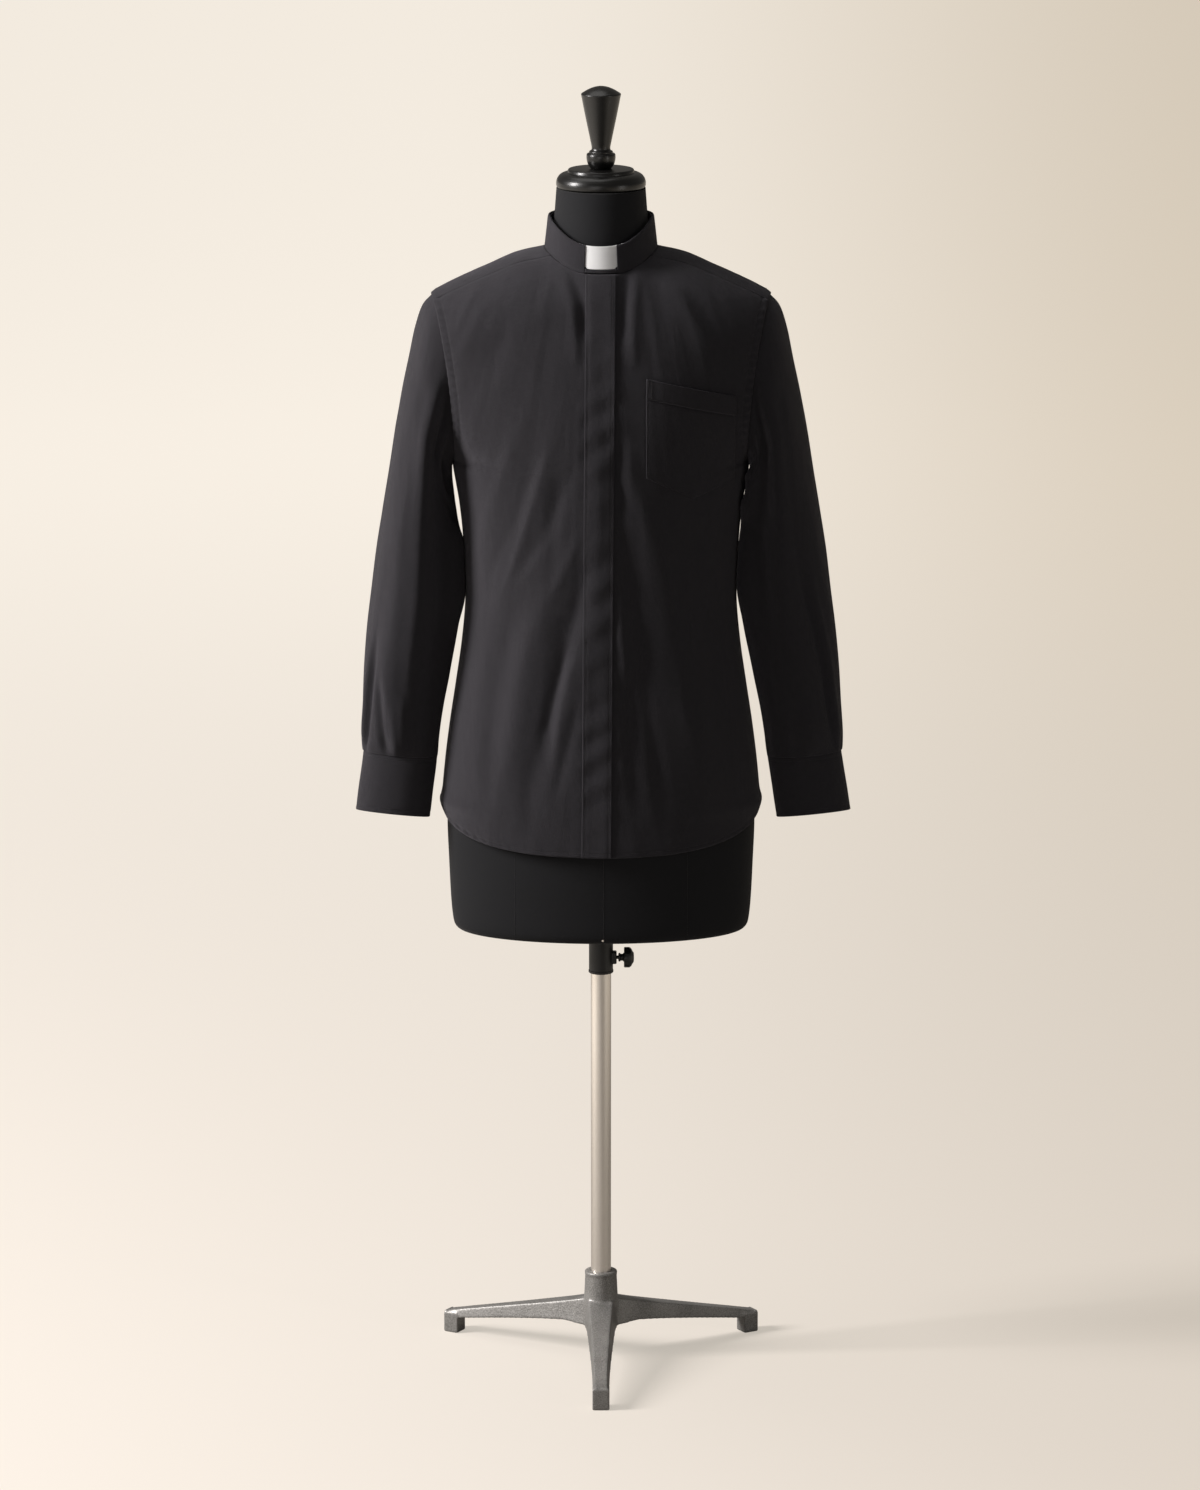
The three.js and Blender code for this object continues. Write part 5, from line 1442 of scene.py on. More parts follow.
    def cuff_points(self, hand: Hand, row: Grid, angle: Grid, lift: Grid) -> tuple[Grid, Grid]:
        """Returns points of a cuff's outer face, moved out, and its outward directions."""
        tube = partial(self.tube, CUFF_ROWS, hand.value)
        flat = tube(row, angle)
        centre = (tube(row, angle + np.pi) + flat) / 2
        step, last = 0.02, 2
        along = tube(row, angle + step) - tube(row, angle - step)
        down = tube(np.minimum(row + 0.05, last), angle) - tube(np.maximum(row - 0.05, 0), angle)
        out = unit(np.cross(along, down))
        out = out * np.sign(np.sum(out * (flat - centre), axis=-1, keepdims=True))
        return flat + out * lift[..., None], out

    def cuff(self, hand: Hand) -> None:
        """Makes a cuff: a stiff double band whose buttoned end laps over the other."""
        overlap = math.radians(24)
        end = math.radians(self.button_around + 12)
        turns = np.concatenate([np.linspace(-overlap, 0, 9)[:-1], np.linspace(0, 2 * np.pi - 0.02, 150)])
        lines = np.array([0, 0.9, 2.2, 3.4, 4.4, 5.2, 6.0, 7.2])
        span = 76.0
        rows = np.concatenate([lines, np.linspace(9, span - 9, 20), span - lines[::-1]]) / span * 2
        row, turn = np.meshgrid(rows, turns, indexing="ij")
        angle = end + turn
        under = 1 - smooth((turn + overlap) / (overlap + 0.5))
        from_edge = np.minimum(row, 2 - row) / 2 * span
        wave = 0.5 * self.ripples[0].at(angle * 2.2 + hand.value, row * 1.2)
        lift = groove(from_edge, HEM_STITCH, 0.3) - 2.3 * under + wave * smooth(from_edge / 12)
        points, out = self.cuff_points(hand, row, angle, lift)
        centre = points.mean(axis=1, keepdims=True)
        name = f"cuff_{hand.word}"
        piece = shirt_piece(name, points, self.cuff_wall, centre, name)
        lower, upper, lapped = 5, len(rows) - 6, slice(9, None)
        sewn_lines = ((lower, lapped), (upper, lapped), (slice(lower, upper + 1), -3))
        sewn = stitches(name, *[(points[line], out[line]) for line in sewn_lines])

    def slit(self, hand: Hand) -> None:
        """Makes the facing of the sleeve's slit: a strip with a pointed head, sewn all round."""
        rows = np.linspace(10.9, 13.94, 44)
        offsets = np.array([-12, -11.4, -10.4, -9.6, -8, -4, 0, 4, 8, 9.6, 10.4, 11.4, 12])
        point = np.clip((rows - 10.9) / 0.34, 0, 1)
        reach = np.maximum(point, 0.12)[:, None] * offsets[None, :]
        row = np.broadcast_to(rows[:, None], reach.shape)
        angle = math.radians(self.slit_around) + reach / 46
        sleeve = partial(self.sleeve_point, hand.value)
        flat = sleeve(row, angle)
        turn, step = 0.02, 0.1
        along = sleeve(row, angle + turn) - sleeve(row, angle - turn)
        out = unit(np.cross(along, flat - sleeve(row - step, angle)))
        out = out * np.sign(out[..., 1:2])
        lift = self.creases(hand, row, angle) + 0.9 + 1.1
        points = flat + out * lift[..., None]
        centre = points.mean(axis=(0, 1)) - np.array([0, 60, 0])
        name = f"sleeve_placket_{hand.word}"
        piece = shirt_piece(name, points, 1.1, centre, name)
        sewn_lines = ((slice(3, None), 3), (slice(3, None), -4), (5, slice(3, -3)))
        sewn = stitches(name, *[(points[line], out[line]) for line in sewn_lines])

    def button(self, hand: Hand) -> None:
        """Makes a four-hole button with a raised rim and sets it on the cuff."""
        row, angle = np.array(1.0), np.array(math.radians(self.button_around))
        place, out = self.cuff_points(hand, row, angle, np.array(1.9))
        name = f"cuff_button_{hand.word}"
        dress(four_hole_button(f"shirt_{name}", place, out), BlackPlastic, Body.FORM, "button", name)

    def build(self) -> None:
        """Makes both sleeves and what is on them."""
        for hand in Hand:
            self.sleeve(hand)
            self.cuff(hand)
            self.slit(hand)
            self.button(hand)


# ---------- collar ----------
@dataclass
class Collar:
    """A tab collar: an outer band with rolled edges, the neckband inside it, and a white tab."""

    body: ShirtBody
    height: tuple[float, float, float] = (32.4, 38.4, 42)
    top_side: float = 64.2
    top_depth: tuple[float, float] = (72.4, 58.6)
    stand_off: float = 0.6
    window: float = 20.3
    tab_half: float = 31

    def point(self, angle: Grid, share: Grid, inwards: Grid | float) -> Grid:
        """Returns points of the collar at an angle round the neck and a share of its height, set in."""
        forward = np.cos(angle)
        front, side, back = self.height
        tall = np.where(forward > 0, lerp(side, front, np.abs(forward) ** 1.5), lerp(side, back, -forward))
        low_x, low_y = self.body.neck_plan(angle)
        low_z = self.body.neckline(angle)[2] + self.stand_off
        deep = np.where(forward > 0, self.top_depth[0], self.top_depth[1])
        x = lerp(low_x, self.top_side * np.sin(angle), share)
        y = lerp(low_y, -deep * forward, share)
        z = low_z + tall * share
        front_depth = self.body.neck_depth[Face.FRONT]
        out = unit(joined(np.sin(angle) / self.body.neck_side, -forward / front_depth))
        inset = np.asarray(inwards)
        return joined(x - out[..., 0] * inset, y - out[..., 1] * inset, z)

    def outer(self) -> None:
        """Makes the outer band, rolled over at its top edge, with rounded front ends."""
        start = float(self.body.neck_angle(self.window))
        lines = np.array([0, 0.6, 1.4, 2.4, 3.4]) / 66
        end = 2 * np.pi - start
        round_neck = np.linspace(start + 0.08, end - 0.08, 210)
        turns = np.concatenate([start + lines, round_neck, end - lines[::-1]])
        profile = np.array(
            [
                (0, 0), (0.03, 0), (0.06, 0.05), (0.08, 0.15), (0.1, 0.05), (0.16, 0), (0.3, 0), (0.45, 0),
                (0.6, 0), (0.75, 0), (0.87, 0), (0.93, 0.05), (0.965, 0.25), (0.988, 0.7), (0.997, 1.3),
                (0.99, 1.9), (0.972, 2.3),
            ]
        )
        share, angle = np.meshgrid(profile[:, 0], turns, indexing="ij")
        inset = np.broadcast_to(profile[:, 1:2], share.shape)
        soft = 0.35 * self.body.ripples[0].at(angle * 3.1, share * 1.3 + 4)
        points = self.point(angle, share, inset + soft * smooth(share * 4) * smooth((1 - share) * 5))
        centre = upright(points)
        piece = shirt_piece("collar_outer", points, 1.0, centre, "collar_outer", "collar_strip")
        out = grid_normals(points, False, centre)
        sewn = stitches("collar", (points[3, 3:-3], out[3, 3:-3]))
        strip = self.strip()

    def strip(self) -> Piece:
        """Makes the stitched strip under the tab, which joins the two ends of the collar."""
        end = float(self.body.neck_angle(self.window)) - 0.012
        profile = np.array([(0.02, 0.25), (0.04, 0.05), (0.08, 0), (0.12, 0.05), (0.145, 0.3)])
        share, angle = np.meshgrid(profile[:, 0], np.linspace(-end, end, 40), indexing="ij")
        points = self.point(angle, share, np.broadcast_to(profile[:, 1:2], share.shape))
        centre = upright(points)
        strip = shirt_piece("collar_strip", points, 1.0, centre)
        out = grid_normals(points, False, centre)
        stitches("collar_strip", (points[1], out[1]), (points[3], out[3]))
        return strip

    def band(self) -> None:
        """Makes the neckband inside the collar."""
        turns = np.linspace(0, 2 * np.pi, 200, endpoint=False)
        share, angle = np.meshgrid(np.linspace(0.01, 0.955, 14), turns, indexing="ij")
        points = self.point(angle, share, 2.9)
        piece = shirt_piece("collar_band", points, 1.1, upright(points), "collar_band", loop=True)

    def tab(self) -> None:
        """Makes the white tab: a bowed plastic strip whose ends tuck into the collar."""
        window = float(self.body.neck_angle(self.window))
        end = float(self.body.neck_angle(self.tab_half))
        tucked = np.linspace(window, end, 8)[1:]
        turns = np.concatenate([-tucked[::-1], np.linspace(-window, window, 44), tucked])
        shares = np.concatenate([[0.16, 0.165, 0.175], np.linspace(0.2, 0.95, 14), [0.972, 0.982, 0.985]])
        share, angle = np.meshgrid(shares, turns, indexing="ij")
        inside = np.maximum(0, 1 - (angle / window) ** 2)
        corner = smooth((0.26 - share) / 0.1) * smooth((np.abs(angle) - 0.78 * window) / (0.22 * window))
        lifted = share + 0.06 * corner * smooth((0.3 - share) / 0.14)
        points = self.point(angle, lifted, 1.5 - 0.5 * inside)
        shell = cloth_shell("collar_tab_insert", points, 0.9, upright(points))
        dress(shell, WhitePlastic, Body.FORM, "tab_white", "collar_tab")

    def build(self) -> None:
        """Makes every piece of the collar."""
        self.band()
        self.outer()
        self.tab()


# ---------- hard pieces, modelled as by hand ----------
def deselect() -> None:
    """Leaves edit mode and selects nothing."""
    if bpy.context.object and bpy.context.object.mode != "OBJECT":
        bpy.ops.object.mode_set(mode="OBJECT")
    bpy.ops.object.select_all(action="DESELECT")


def select_only(piece: Piece) -> None:
    """Makes one object the active and only selected one."""
    deselect()
    piece.select_set(True)
    bpy.context.view_layer.objects.active = piece


def edit_all(piece: Piece) -> None:
    """Enters edit mode on one piece with all of it selected."""
    select_only(piece)
    bpy.ops.object.mode_set(mode="EDIT")
    bpy.ops.mesh.select_all(action="SELECT")


def metres(x: float, y: float, z: float) -> Vector:
    """Returns a place round the pole's axis in the frame's metres."""
    return Vector((x, y + AXIS_Y, z)) * MM


def settle(piece: Piece, name: str, angle: float = 35) -> Piece:
    """Applies a piece's place to its mesh, merges doubles, turns its faces out and shades it.

    Args:
        piece: the modelled object.
        name: its final name.
        angle: faces that meet at less than this many degrees are shaded smooth.

    Returns:
        The same object, at the origin.
    """
    select_only(piece)
    piece.name = name
    piece.data.name = name
    bpy.ops.object.transform_apply(location=True, rotation=True, scale=True)
    edit_all(piece)
    bpy.ops.mesh.remove_doubles(threshold=0.000001)
    bpy.ops.mesh.normals_make_consistent(inside=False)
    bpy.ops.object.mode_set(mode="OBJECT")
    bpy.ops.object.shade_smooth_by_angle(angle=math.radians(angle))
    return piece


def apply_modifier(piece: Piece, kind: str, **settings: object) -> None:
    """Adds a modifier with its settings and applies it."""
    select_only(piece)
    modifier = piece.modifiers.new(kind.lower(), kind)
    for key, value in settings.items():
        setattr(modifier, key, value)
    bpy.ops.object.modifier_apply(modifier=modifier.name)


def cut(piece: Piece, tool: Piece, operation: str = "DIFFERENCE") -> None:
    """Cuts or joins a piece with a tool, which is then removed."""
    apply_modifier(piece, "BOOLEAN", operation=operation, object=tool, solver="EXACT")
    bpy.data.objects.remove(tool)


def flowing(points: Sequence[tuple[float, float]], steps: int) -> list[tuple[float, float]]:
    """Runs a smooth profile through radii and heights, in as many steps between each two."""
    places = np.array(points, float)
    along = np.concatenate([[0], np.cumsum(np.linalg.norm(np.diff(places, axis=0), axis=1))])
    spans = [np.linspace(a, b, steps + 1)[:-1] for a, b in zip(along[:-1], along[1:])]
    at = np.concatenate([*spans, along[-1:]])
    radii = smooth_read(along, places[:, 0], at)
    heights = smooth_read(along, places[:, 1], at)
    return [(max(0.05, float(r)), float(z)) for r, z in zip(radii, heights)]


def turned(profile: Sequence[tuple[float, float]], sides: int = 64) -> Piece:
    """Turns a solid on the pole's axis: a disc is extruded and resized up its profile.

    Args:
        profile: radius and height of each ring, from the foot to the top.
        sides: points round it.

    Returns:
        The new object, its place not yet applied.
    """
    deselect()
    radius, height = profile[0]
    bpy.ops.mesh.primitive_circle_add(
        vertices=sides, radius=radius * MM, fill_type="NGON", location=metres(0, 0, height)
    )
    piece = bpy.context.object
    edit_all(piece)
    for next_radius, next_height in profile[1:]:
        move = {"value": (0, 0, (next_height - height) * MM)}
        bpy.ops.mesh.extrude_region_move(TRANSFORM_OT_translate=move)
        ratio = next_radius / radius
        bpy.ops.transform.resize(value=(ratio, ratio, 1), center_override=metres(0, 0, next_height))
        radius, height = next_radius, next_height
    bpy.ops.object.mode_set(mode="OBJECT")
    return piece


def block(place: Vector, size: tuple[float, float, float], bevel: float = 0, segments: int = 3) -> Piece:
    """Adds a box.

    Args:
        place: its middle, in metres.
        size: its lengths in millimetres.
        bevel: width of its rounded edges, in millimetres.
        segments: steps round each edge.

    Returns:
        The box, with its place and size applied.
    """
    deselect()
    bpy.ops.mesh.primitive_cube_add(size=1, location=place)
    box = bpy.context.object
    box.scale = [length * MM for length in size]
    bpy.ops.object.transform_apply(location=True, rotation=True, scale=True)
    if bevel:
        apply_modifier(box, "BEVEL", width=bevel * MM, segments=segments, limit_method="ANGLE")
    return box


def rod(start: Vector, end: Vector, radius: float, sides: int = 48) -> Piece:
    """Adds a cylinder between two places, given in metres, with a radius in millimetres."""
    deselect()
    along = end - start
    bpy.ops.mesh.primitive_cylinder_add(
        vertices=sides,
        radius=radius * MM,
        depth=along.length,
        location=(start + end) / 2,
        rotation=along.to_track_quat("Z", "Y").to_euler(),
    )
    return bpy.context.object


def four_hole_button(name: str, place: Grid, out: Grid) -> Piece:
    """Models a button lying on the cloth.

    Args:
        name: the piece's name.
        place: middle of the button round the pole's axis.
        out: the cloth's outward direction there.

    Returns:
        The finished object.
    """
    radius, height, rim, dish, hole, spacing = 5.2, 2.2, 1.1, 0.5, 0.7, 1.35
    deselect()
    bpy.ops.mesh.primitive_cylinder_add(vertices=48, radius=radius * MM, depth=height * MM)
    button = bpy.context.object
    bpy.ops.object.mode_set(mode="EDIT")
    bpy.ops.mesh.select_all(action="DESELECT")
    bpy.ops.object.mode_set(mode="OBJECT")
    for face in button.data.polygons:
        face.select = face.normal.z > 0.9
    bpy.ops.object.mode_set(mode="EDIT")
    bpy.ops.mesh.select_mode(type="FACE")
    bpy.ops.mesh.inset(thickness=rim * MM)
    bpy.ops.transform.translate(value=(0, 0, -dish * MM))
    bpy.ops.object.mode_set(mode="OBJECT")
    for sx in (-1, 1):
        for sy in (-1, 1):
            low = Vector((sx * spacing, sy * spacing, -height)) * MM
            high = Vector((sx * spacing, sy * spacing, height)) * MM
            cut(button, rod(low, high, hole, 16))
    apply_modifier(button, "BEVEL", width=0.28 * MM, segments=3, limit_method="ANGLE")
    button.rotation_euler = Vector(out).to_track_quat("Z", "Y").to_euler()
    button.location = metres(*[float(v) for v in place])
    return settle(button, name)


@dataclass
class DressForm:
    """The padded form, its neck cap and the turned finial."""

    body: ShirtBody
    inset: float = 3.8
    base: float = 552.5
    bore_radius: float = 13.0
    bore_top: float = 1185
    sides: int = 160
    trunk: Table = Table(
        ("z", "side", "front", "back"),
        (
            (552.5, 170, 84, 88), (553.8, 175, 89, 93), (557.4, 179.4, 93.2, 97.4),
            (564, 182, 95.6, 99.8), (590, 184.8, 97.6, 103), (640, 187.2, 100.4, 108),
            (690, 189, 102, 112), (740, 187.6, 102, 112.6), (790, 180, 100, 107), (840, 169.6, 98, 98),
            (900, 157.4, 95, 90), (960, 152.6, 95, 89), (1020, 155.6, 99, 93), (1080, 162, 105, 100),
            (1130, 168.6, 110, 105), (1180, 175, 112, 109), (1230, 183, 111, 109),
            (1270, 190.4, 106.6, 104), (1300, 195.4, 100.6, 99), (1322, 198, 95.6, 94),
        ),
    )
    neck: Table = Table(
        ("z", "side", "front", "back"),
        (
            (1330, 58, 60, 52), (1378, 58.4, 66, 54), (1404, 58, 65, 54), (1430, 57, 63, 53),
            (1450, 55.6, 60, 51.8), (1473, 53.9, 56, 50.6),
        ),
    )

    def ring(self, z: float, side: float, front: float, back: float, round_over: bool) -> Grid:
        """Returns one level section of the form."""
        angle = np.linspace(0, 2 * np.pi, self.sides, endpoint=False)
        x = side * np.sin(angle)
        fore = np.cos(angle) > 0
        cap = np.ones(self.sides)
        if round_over:
            ridge = self.body.ridge_z(x) - self.inset
            heights = np.full(self.sides, z)
            caps = [self.body.rounding(face, heights, ridge) for face in Face]
            cap = np.where(fore, caps[0], caps[1])
        y = -np.where(fore, front, back) * np.cos(angle) * cap
        return joined(x, y, z)

    def crown_half(self, z: float) -> float:
        """Returns the half width where a level plane cuts the shoulders."""
        across = np.linspace(0, 198, 800)
        above = across[self.body.ridge_z(across) - self.inset > z]
        return float(above.max()) if len(above) else 0.5

    def trunk_rings(self) -> Grid:
        """Returns the sections of the trunk, from its foot over the shoulders."""
        foot = [552.5, 552.8, 553.3, 554.2, 555.6, 557.6, 560.4]
        heights = np.concatenate([foot, np.linspace(564, 1322, 130)])
        rings = []
        for z in heights:
            sizes = [float(self.trunk.read(name, z)) for name in ("side", "front", "back")]
            rings.append(self.ring(z, *sizes, z > 1240))
        for z in np.linspace(1325, 1418, 34):
            sizes = [float(self.body.sections.read(name, z)) - self.inset for name in ("front", "back")]
            rings.append(self.ring(z, self.crown_half(z), *sizes, True))
        return np.array(rings)

    def make_form(self) -> None:
        """Makes the form: its trunk and neck in one, with the bore for the pole."""
        form = closed_rings("dress_form", self.trunk_rings())
        sizes = ("side", "front", "back")
        heights = np.linspace(1330, 1473, 60)
        rings = [self.ring(z, *[float(self.neck.read(name, z)) for name in sizes], False) for z in heights]
        neck = closed_rings("form_neck", np.array(rings))
        cut(form, neck, "UNION")
        bore = rod(metres(0, 0, self.base - 20), metres(0, 0, self.bore_top), self.bore_radius)
        cut(form, bore)
        settle(form, "dress_form", 50)
        dress(form, Jersey, Body.FORM, "jersey", "form")

    def make_seams(self) -> None:
        """Sews the form's centre front and princess seams, and closes the cover's foot with a staple."""
        z = np.linspace(561, 690, 60)
        rows = []
        for x in (3.0, -105.5, 105.5):
            side, front = self.trunk.read("side", z), self.trunk.read("front", z)
            y = -front * np.sqrt(1 - (x / side) ** 2)
            out = unit(joined(x / side**2, y / front**2, 0.0))
            rows.append((joined(x, y, z), out))
        dress(SEWING.sew("form_seams", rows), Thread, Body.FORM, "jersey")
        staple = block(metres(2.4, -93.8, 560.4), (2.4, 1.6, 5.6), 0.6)
        dress(settle(staple, "form_staple"), BrushedSteel, Body.FORM, "steel")

    def make_cap(self) -> None:
        """Turns the disc that closes the neck, with the plate under the finial."""
        side = [(51.4, 1473.2), (52.8, 1473.8), (53.8, 1475.4), (54.2, 1478), (54.0, 1481.6), (53, 1484.6)]
        crown = [(52.7, 1485.1), (50.6, 1488), (47.4, 1490.2), (43.8, 1491.4), (40.6, 1491.8)]
        plate = [(39.6, 1495.3), (38.8, 1495.9), (37.4, 1496.2)]
        step = [(40.3, 1492.2), (40.0, 1494.4)]
        profile = flowing(side, 4) + flowing(crown, 4) + step + flowing(plate, 2)
        cap = settle(turned(profile, 128), "neck_cap_turned", 28)
        dress(cap, Lacquer, Body.FORM, "lacquer", "neck_cap")

    def make_finial(self) -> None:
        """Turns the finial: foot, bead, waist and flared head."""
        curves = (
            (4, (12.4, 1496.5), (13.4, 1497.6), (15.5, 1500.8), (17.0, 1505.2), (17.6, 1509.6), (17.5, 1513)),
            (2, (17.3, 1513.6), (16.8, 1514.4), (15.8, 1514.9), (14.6, 1515.1)),
            (3, (14.3, 1515.5), (14.4, 1516.6), (13.9, 1517.6), (12.6, 1518.3)),
            (3, (11.8, 1518.7), (11.3, 1520.4), (11.5, 1523.6), (12.6, 1529)),
            (6, (14, 1536), (18, 1555), (21.8, 1574), (23.2, 1581.6), (23.9, 1584.8)),
            (3, (24.1, 1585.6), (24.1, 1586.4), (23.6, 1587.1), (22.6, 1587.9)),
            (4, (21.4, 1588.6), (16.4, 1591.6), (9.4, 1594.6), (3, 1596), (0.4, 1596.2)),
        )
        profile = [place for steps, *points in curves for place in flowing(points, steps)]
        finial = settle(turned(profile, 96), "finial_turned", 28)
        dress(finial, Lacquer, Body.FORM, "lacquer", "finial")

    def build(self) -> None:
        """Makes the form and what stands on its neck."""
        self.make_form()
        self.make_seams()
        self.make_cap()
        self.make_finial()


@dataclass
class Stand:
    """The pole, the socket with its clamp screw, and the three-legged casting."""

    pole_radius: float = 12.5
    pole_fit: float = 0.5
    screw_z: float = 514.5
    leg_turns: tuple[float, ...] = (-90, 30, 150)
    leg_rows: Table = Table(
        ("r", "top", "under", "half"),
        (
            (8, 79, 43, 21), (18, 76.6, 44, 20.4), (30, 72.8, 45.6, 19), (60, 65.4, 42.8, 17),
            (100, 55.9, 37.2, 14.6), (150, 44.2, 29.2, 12), (190, 35, 22.6, 10.8),
            (204, 31.6, 20.4, 10.4), (218, 28.4, 18, 10.4),
        ),
    )

    def make_pole(self) -> None:
        """Makes the steel tube with softened ends."""
        bottom, top = POLE_LOW.z / MM, POLE_HIGH.z / MM
        radius, edge = self.pole_radius, 0.8
        profile = [(radius - edge, bottom), (radius, bottom + edge)]
        profile += [(radius, top - edge), (radius - edge, top)]
        pole = settle(turned(profile, 96), "pole_tube")
        dress(pole, BrushedSteel, Body.POLE, "steel", "pole")

    def make_socket(self) -> None:
        """Makes the socket: a tube with a lip, a squared boss for the screw and its bore."""
        inner = self.pole_radius + self.pole_fit
        bottom, top, outer, waist = 495.6, 552.2, 15.4, 14.9
        lip = [(outer - 0.7, bottom), (outer, bottom + 0.8), (outer, bottom + 3)]
        profile = lip + [(waist, bottom + 3.5), (waist, top - 6), (outer, top - 5.4), (outer, top)]
        socket = turned(profile, 96)
        cut(socket, block(metres(14.4, 0, self.screw_z), (10, 13, 15), 1.6, 4), "UNION")
        cut(socket, rod(metres(0, 0, bottom - 5), metres(0, 0, top + 5), inner, 96))
        cut(socket, rod(metres(5, 0, self.screw_z), metres(30, 0, self.screw_z), 3.5))
        dress(settle(socket, "socket_moulded"), BlackPlastic, Body.FORM, "black_plastic", "socket")

    def make_screw(self) -> None:
        """Makes the clamp screw: a shank, a collar and a ribbed knob with a domed face."""
        profile = [
            (2.6, 12.9), (3, 13.3), (3, 19), (2.2, 19.4), (2.2, 21.2),
            (4.8, 21.6), (5.4, 22.2), (5.4, 23.6), (4.4, 24.2), (4.2, 26.6), (6, 28.4),
            (11.8, 28.4), (12.7, 29.2),
        ]
        head = [(12.7, 35), (11.6, 36.8), (9.6, 38.2), (7.4, 39.2), (7, 39.6), (5.4, 40.6), (2, 40.8)]
        screw = turned(profile + head, 72)
        rim_low, rim_high, rib_pitch = 29.2, 35, 30
        for face in screw.data.polygons:
            on_rim = abs(face.normal.z) < 0.2 and face.area > 4e-6
            height = (screw.matrix_world @ face.center).z / MM
            turn = math.degrees(math.atan2(face.center.y, face.center.x)) % rib_pitch
            face.select = on_rim and rim_low < height < rim_high and turn < rib_pitch / 2
        bpy.ops.object.mode_set(mode="EDIT")
        bpy.ops.mesh.select_mode(type="FACE")
        bpy.ops.mesh.extrude_region_shrink_fatten(TRANSFORM_OT_shrink_fatten={"value": -0.75 * MM})
        bpy.ops.object.mode_set(mode="OBJECT")
        apply_modifier(screw, "BEVEL", width=0.25 * MM, segments=2, limit_method="ANGLE")
        settle(screw, "clamp_screw_ribbed")
        select_only(screw)
        screw.rotation_euler = (0, math.pi / 2, 0)
        bpy.ops.object.transform_apply(location=False, rotation=True, scale=False)
        edit_all(screw)
        bpy.ops.transform.translate(value=(0, 0, self.screw_z * MM))
        bpy.ops.object.mode_set(mode="OBJECT")
        dress(screw, BlackPlastic, Body.CLAMP, "black_plastic", "clamp_screw")

    def leg_block(self, grow: float, channel: bool) -> Piece:
        """Models one leg along +X from a block: cut across at each row, then narrowed and sloped.

        Args:
            grow: how much smaller the section is all round.
            channel: whether this is the hollow under the leg, open below.

        Returns:
            The shaped block.
        """
        rows = [row[0] for row in self.leg_rows.rows]
        start, end = (30.0, 199.0) if channel else (rows[0], rows[-1])
        bar = block(metres((start + end) / 2, 0, 0.5 / MM), (end - start, 1 / MM, 1 / MM))
        bpy.ops.object.mode_set(mode="EDIT")
        for place in (r for r in (45, 60, 80, 100, 125, 150, 170, 190, 204) if start < r < end):
            bpy.ops.mesh.select_all(action="SELECT")
            bpy.ops.mesh.bisect(plane_co=metres(place, 0, 0), plane_no=(1, 0, 0))
        bpy.ops.object.mode_set(mode="OBJECT")
        for vertex in bar.data.vertices:
            radius = vertex.co.x / MM
            half = float(self.leg_rows.read("half", radius)) - grow
            top = float(self.leg_rows.read("top", radius)) - grow
            under = -5.0 if channel else float(self.leg_rows.read("under", radius))
            high = vertex.co.z > 0.5
            side = 1 if vertex.co.y > AXIS_Y * MM else -1
            narrow = 0.76 if high else 1.0
            vertex.co.y = (AXIS_Y + side * half * narrow) * MM
            vertex.co.z = (top if high else under) * MM
        return bar

    def leg(self, turn: float) -> Piece:
        """Makes one leg with its foot and the channel under it, turned to its place."""
        leg = self.leg_block(0, False)
        cut(leg, block(metres(214, 0, 13.2), (20, 20.8, 26.4)), "UNION")
        cut(leg, rod(metres(221.6, -8.2, 26.6), metres(221.6, 8.2, 26.6), 1.8), "UNION")
        cut(leg, self.leg_block(4.0, True))
        edge = {"width": 1.6 * MM, "segments": 2, "limit_method": "ANGLE", "angle_limit": math.radians(50)}
        apply_modifier(leg, "BEVEL", **edge)
        edit_all(leg)
        middle = metres(0, 0, 0)
        bpy.ops.transform.rotate(value=-math.radians(turn), orient_axis="Z", center_override=middle)
        bpy.ops.object.mode_set(mode="OBJECT")
        return leg

    def make_base(self) -> None:
        """Casts the base: a flared hub and three legs fused with soft fillets."""
        flare = flowing([(22.4, 60), (22.2, 68), (21.6, 74), (21, 80)], 3)
        neck = flowing([(20.7, 84), (20, 100), (19.6, 107.6)], 3)
        lip = [(20.2, 108.2), (20.4, 109.4), (20.2, 111.2), (19.2, 112)]
        base = turned([(18, 40), (21.6, 41), (22.4, 44)] + flare + neck + lip, 96)
        for turn in self.leg_turns:
            leg = self.leg(turn)
            select_only(base)
            leg.select_set(True)
            bpy.ops.object.join()
        apply_modifier(base, "REMESH", mode="VOXEL", voxel_size=1.3 * MM, use_smooth_shade=True)
        apply_modifier(base, "SMOOTH", factor=0.5, iterations=4)
        inner = self.pole_radius + self.pole_fit
        cut(base, rod(metres(0, 0, 61.7), metres(0, 0, 130), inner, 96))
        dress(settle(base, "base_casting", 50), HammeredCoat, Body.BASE, "casting", "base")

    def build(self) -> None:
        """Makes the whole stand."""
        self.make_pole()
        self.make_socket()
        self.make_screw()
        self.make_base()


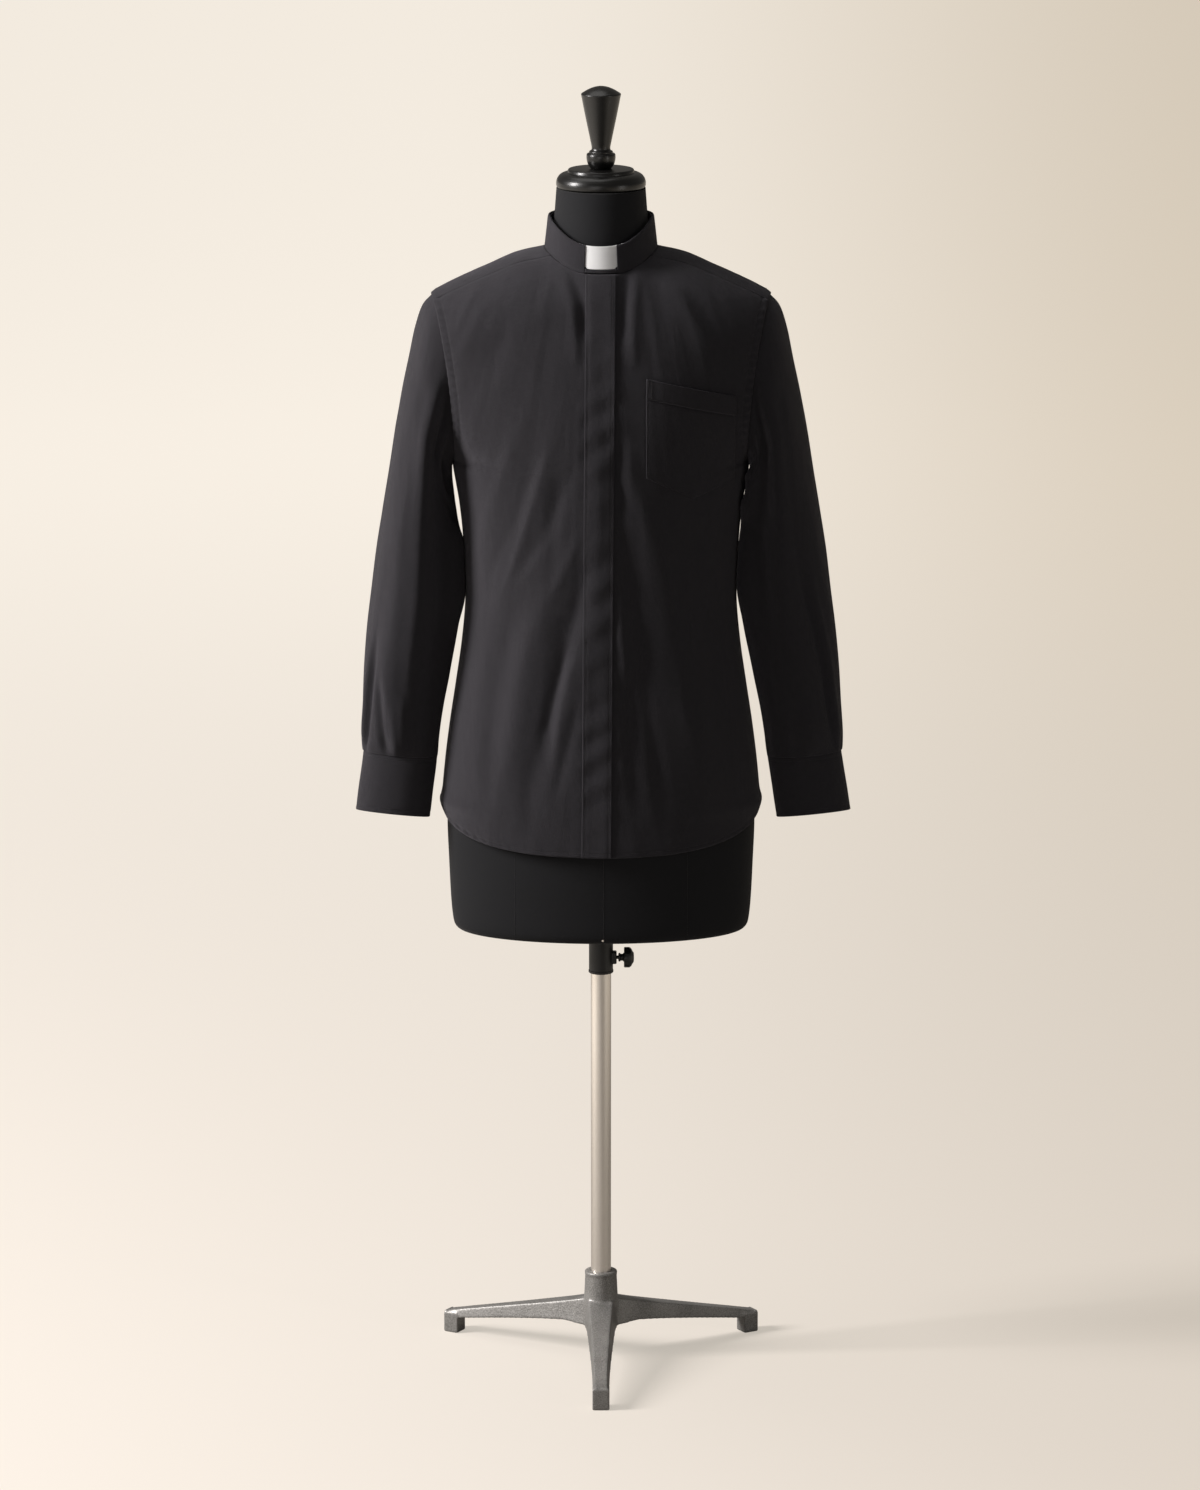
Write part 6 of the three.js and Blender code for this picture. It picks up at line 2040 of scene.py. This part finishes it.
# ---------- studio ----------
@dataclass
class Studio:
    """The camera, the pale floor with its painted light and shade, and the soft light."""

    distance: float = 8600
    camera_z: float = 2700
    pitch: float = 12.564
    lens: float = 173.3
    bright_floor: Colour = (0.955, 0.885, 0.79)
    painted_shade_floor: Colour = (0.685, 0.6, 0.485)

    def camera(self) -> None:
        """Places the camera."""
        data = bpy.data.cameras.new("camera")
        data.sensor_width = 36
        data.lens = self.lens
        data.clip_end = 200
        data.shift_x = -1 / 1490
        camera = bpy.data.objects.new("camera", data)
        camera.location = metres(0, -self.distance, self.camera_z)
        camera.rotation_euler = (math.radians(90 - self.pitch), 0, 0)
        bpy.context.scene.collection.objects.link(camera)
        bpy.context.scene.camera = camera

    def floor(self) -> None:
        """Lays a wide pale floor whose glow to the camera is painted light, with painted shade towards the
        right and painted reflections at its sides.
        """
        deselect()
        bpy.ops.mesh.primitive_plane_add(size=120, location=(0, 20, 0))
        bpy.ops.object.transform_apply(location=True, rotation=False, scale=False)
        floor = bpy.context.object
        floor.name = "floor"
        paint = Paint("pale_floor")
        x, y, _ = paint.parts(paint.place())
        reach = paint.maths("SQRT", x * x + y * y)
        across = x / (reach + (self.distance - AXIS_Y) * MM)
        smoothly = {"interpolation_type": "SMOOTHSTEP"}
        # painted shade: the floor's tone turns from the bright colour to the dim one towards the right, more
        # so far off
        painted_shade_right = paint.node("MapRange", smoothly, {0: across, 1: -0.03, 2: 0.1, 3: 0.0, 4: 1.0})
        # painted light: the camera sees the floor glow, more brightly far off where the lamps reach less
        depth = paint.node("MapRange", smoothly, {0: reach, 1: 0, 2: 7, 3: 0.54, 4: 0.92})
        far = paint.maths("MINIMUM", depth * 1.25 - 0.2, 1.0)
        tone = paint.tone(painted_shade_right * far, self.bright_floor, self.painted_shade_floor)
        seen = paint.node("LightPath", output="Is Camera Ray")
        # painted reflections: glowing patches at the left and right of the floor that only reflections see
        left = paint.node("MapRange", smoothly, {0: x, 1: -0.8, 2: -2.2, 3: 0.0, 4: 0.85})
        right = paint.node("MapRange", smoothly, {0: x, 1: 1.0, 2: 2.4, 3: 0.0, 4: 0.8})
        mirrored = paint.node("LightPath", output="Is Glossy Ray")
        painted_light_glow = paint.node("Emission", values={0: tone, 1: seen * depth + mirrored * (left + right)})
        lit = paint.node("BsdfDiffuse", values={0: (0.36, 0.33, 0.3, 1)})
        dim = paint.node("BsdfDiffuse", values={0: (0.3, 0.28, 0.25, 1)})
        surface = paint.node("MixShader", values={0: seen, 1: dim, 2: lit})
        both = paint.node("AddShader", values={0: painted_light_glow, 1: surface})
        paint.node("OutputMaterial", values={"Surface": both})
        floor.data.materials.append(paint.material)

    def area(self, name: str, place: tuple, aim: tuple, size: tuple, power: float, colour: Colour) -> None:
        """Adds a soft rectangular light, aimed at a place."""
        data = bpy.data.lights.new(name, "AREA")
        data.shape = "RECTANGLE"
        data.size, data.size_y = size
        data.energy = power
        data.color = colour
        light = bpy.data.objects.new(name, data)
        light.location = place
        light.rotation_euler = (Vector(aim) - Vector(place)).to_track_quat("-Z", "Y").to_euler()
        bpy.context.scene.collection.objects.link(light)

    def world(self) -> None:
        """Sets a pale room that stays dim for soft reflections."""
        world = bpy.data.worlds.new("studio")
        bpy.context.scene.world = world
        paint = Paint("studio", world)
        seen = paint.node("LightPath", output="Is Camera Ray")
        mirrored = paint.node("LightPath", output="Is Glossy Ray")
        strength = seen * 0.9 + mirrored * 0.16 + 0.035
        room = paint.node("Background", values={0: (0.93, 0.87, 0.79, 1), 1: strength})
        paint.node("OutputWorld", values={0: room})

    def lights(self) -> None:
        """Sets the large key light, a weak fill, a strip at the right and a soft top light."""
        for row in (
            ("key", (-4.2, -0.85, 3.0), (0, 0.05, 1.05), (1.2, 2.4), 385, (1, 0.97, 0.96)),
            ("fill", (-1.3, -4.9, 1.7), (0, 0.05, 0.9), (2.4, 2.4), 21, (1, 0.97, 0.97)),
            ("right strip", (3.4, -2.3, 1.3), (0, 0.05, 0.6), (0.4, 2.0), 13, (1, 0.97, 0.94)),
            ("top", (-0.8, 0.3, 4.2), (0, 0.1, 0), (2.6, 2.6), 30, (1, 0.98, 0.95)),
        ):
            self.area(*row)

    def build(self) -> None:
        """Sets up the studio."""
        self.floor()
        self.world()
        self.lights()
        bpy.context.scene.view_settings.view_transform = "Standard"


def main() -> None:
    """Builds the scene: camera first, then each sub-assembly."""
    logging.basicConfig(level=logging.INFO, format="%(message)s")
    studio = Studio()
    studio.camera()
    body = ShirtBody()
    for part in (Panels(body), Sleeves(body), Collar(body), DressForm(body), Stand(), studio):
        part.build()
    deselect()


if __name__ == "__main__":
    main()
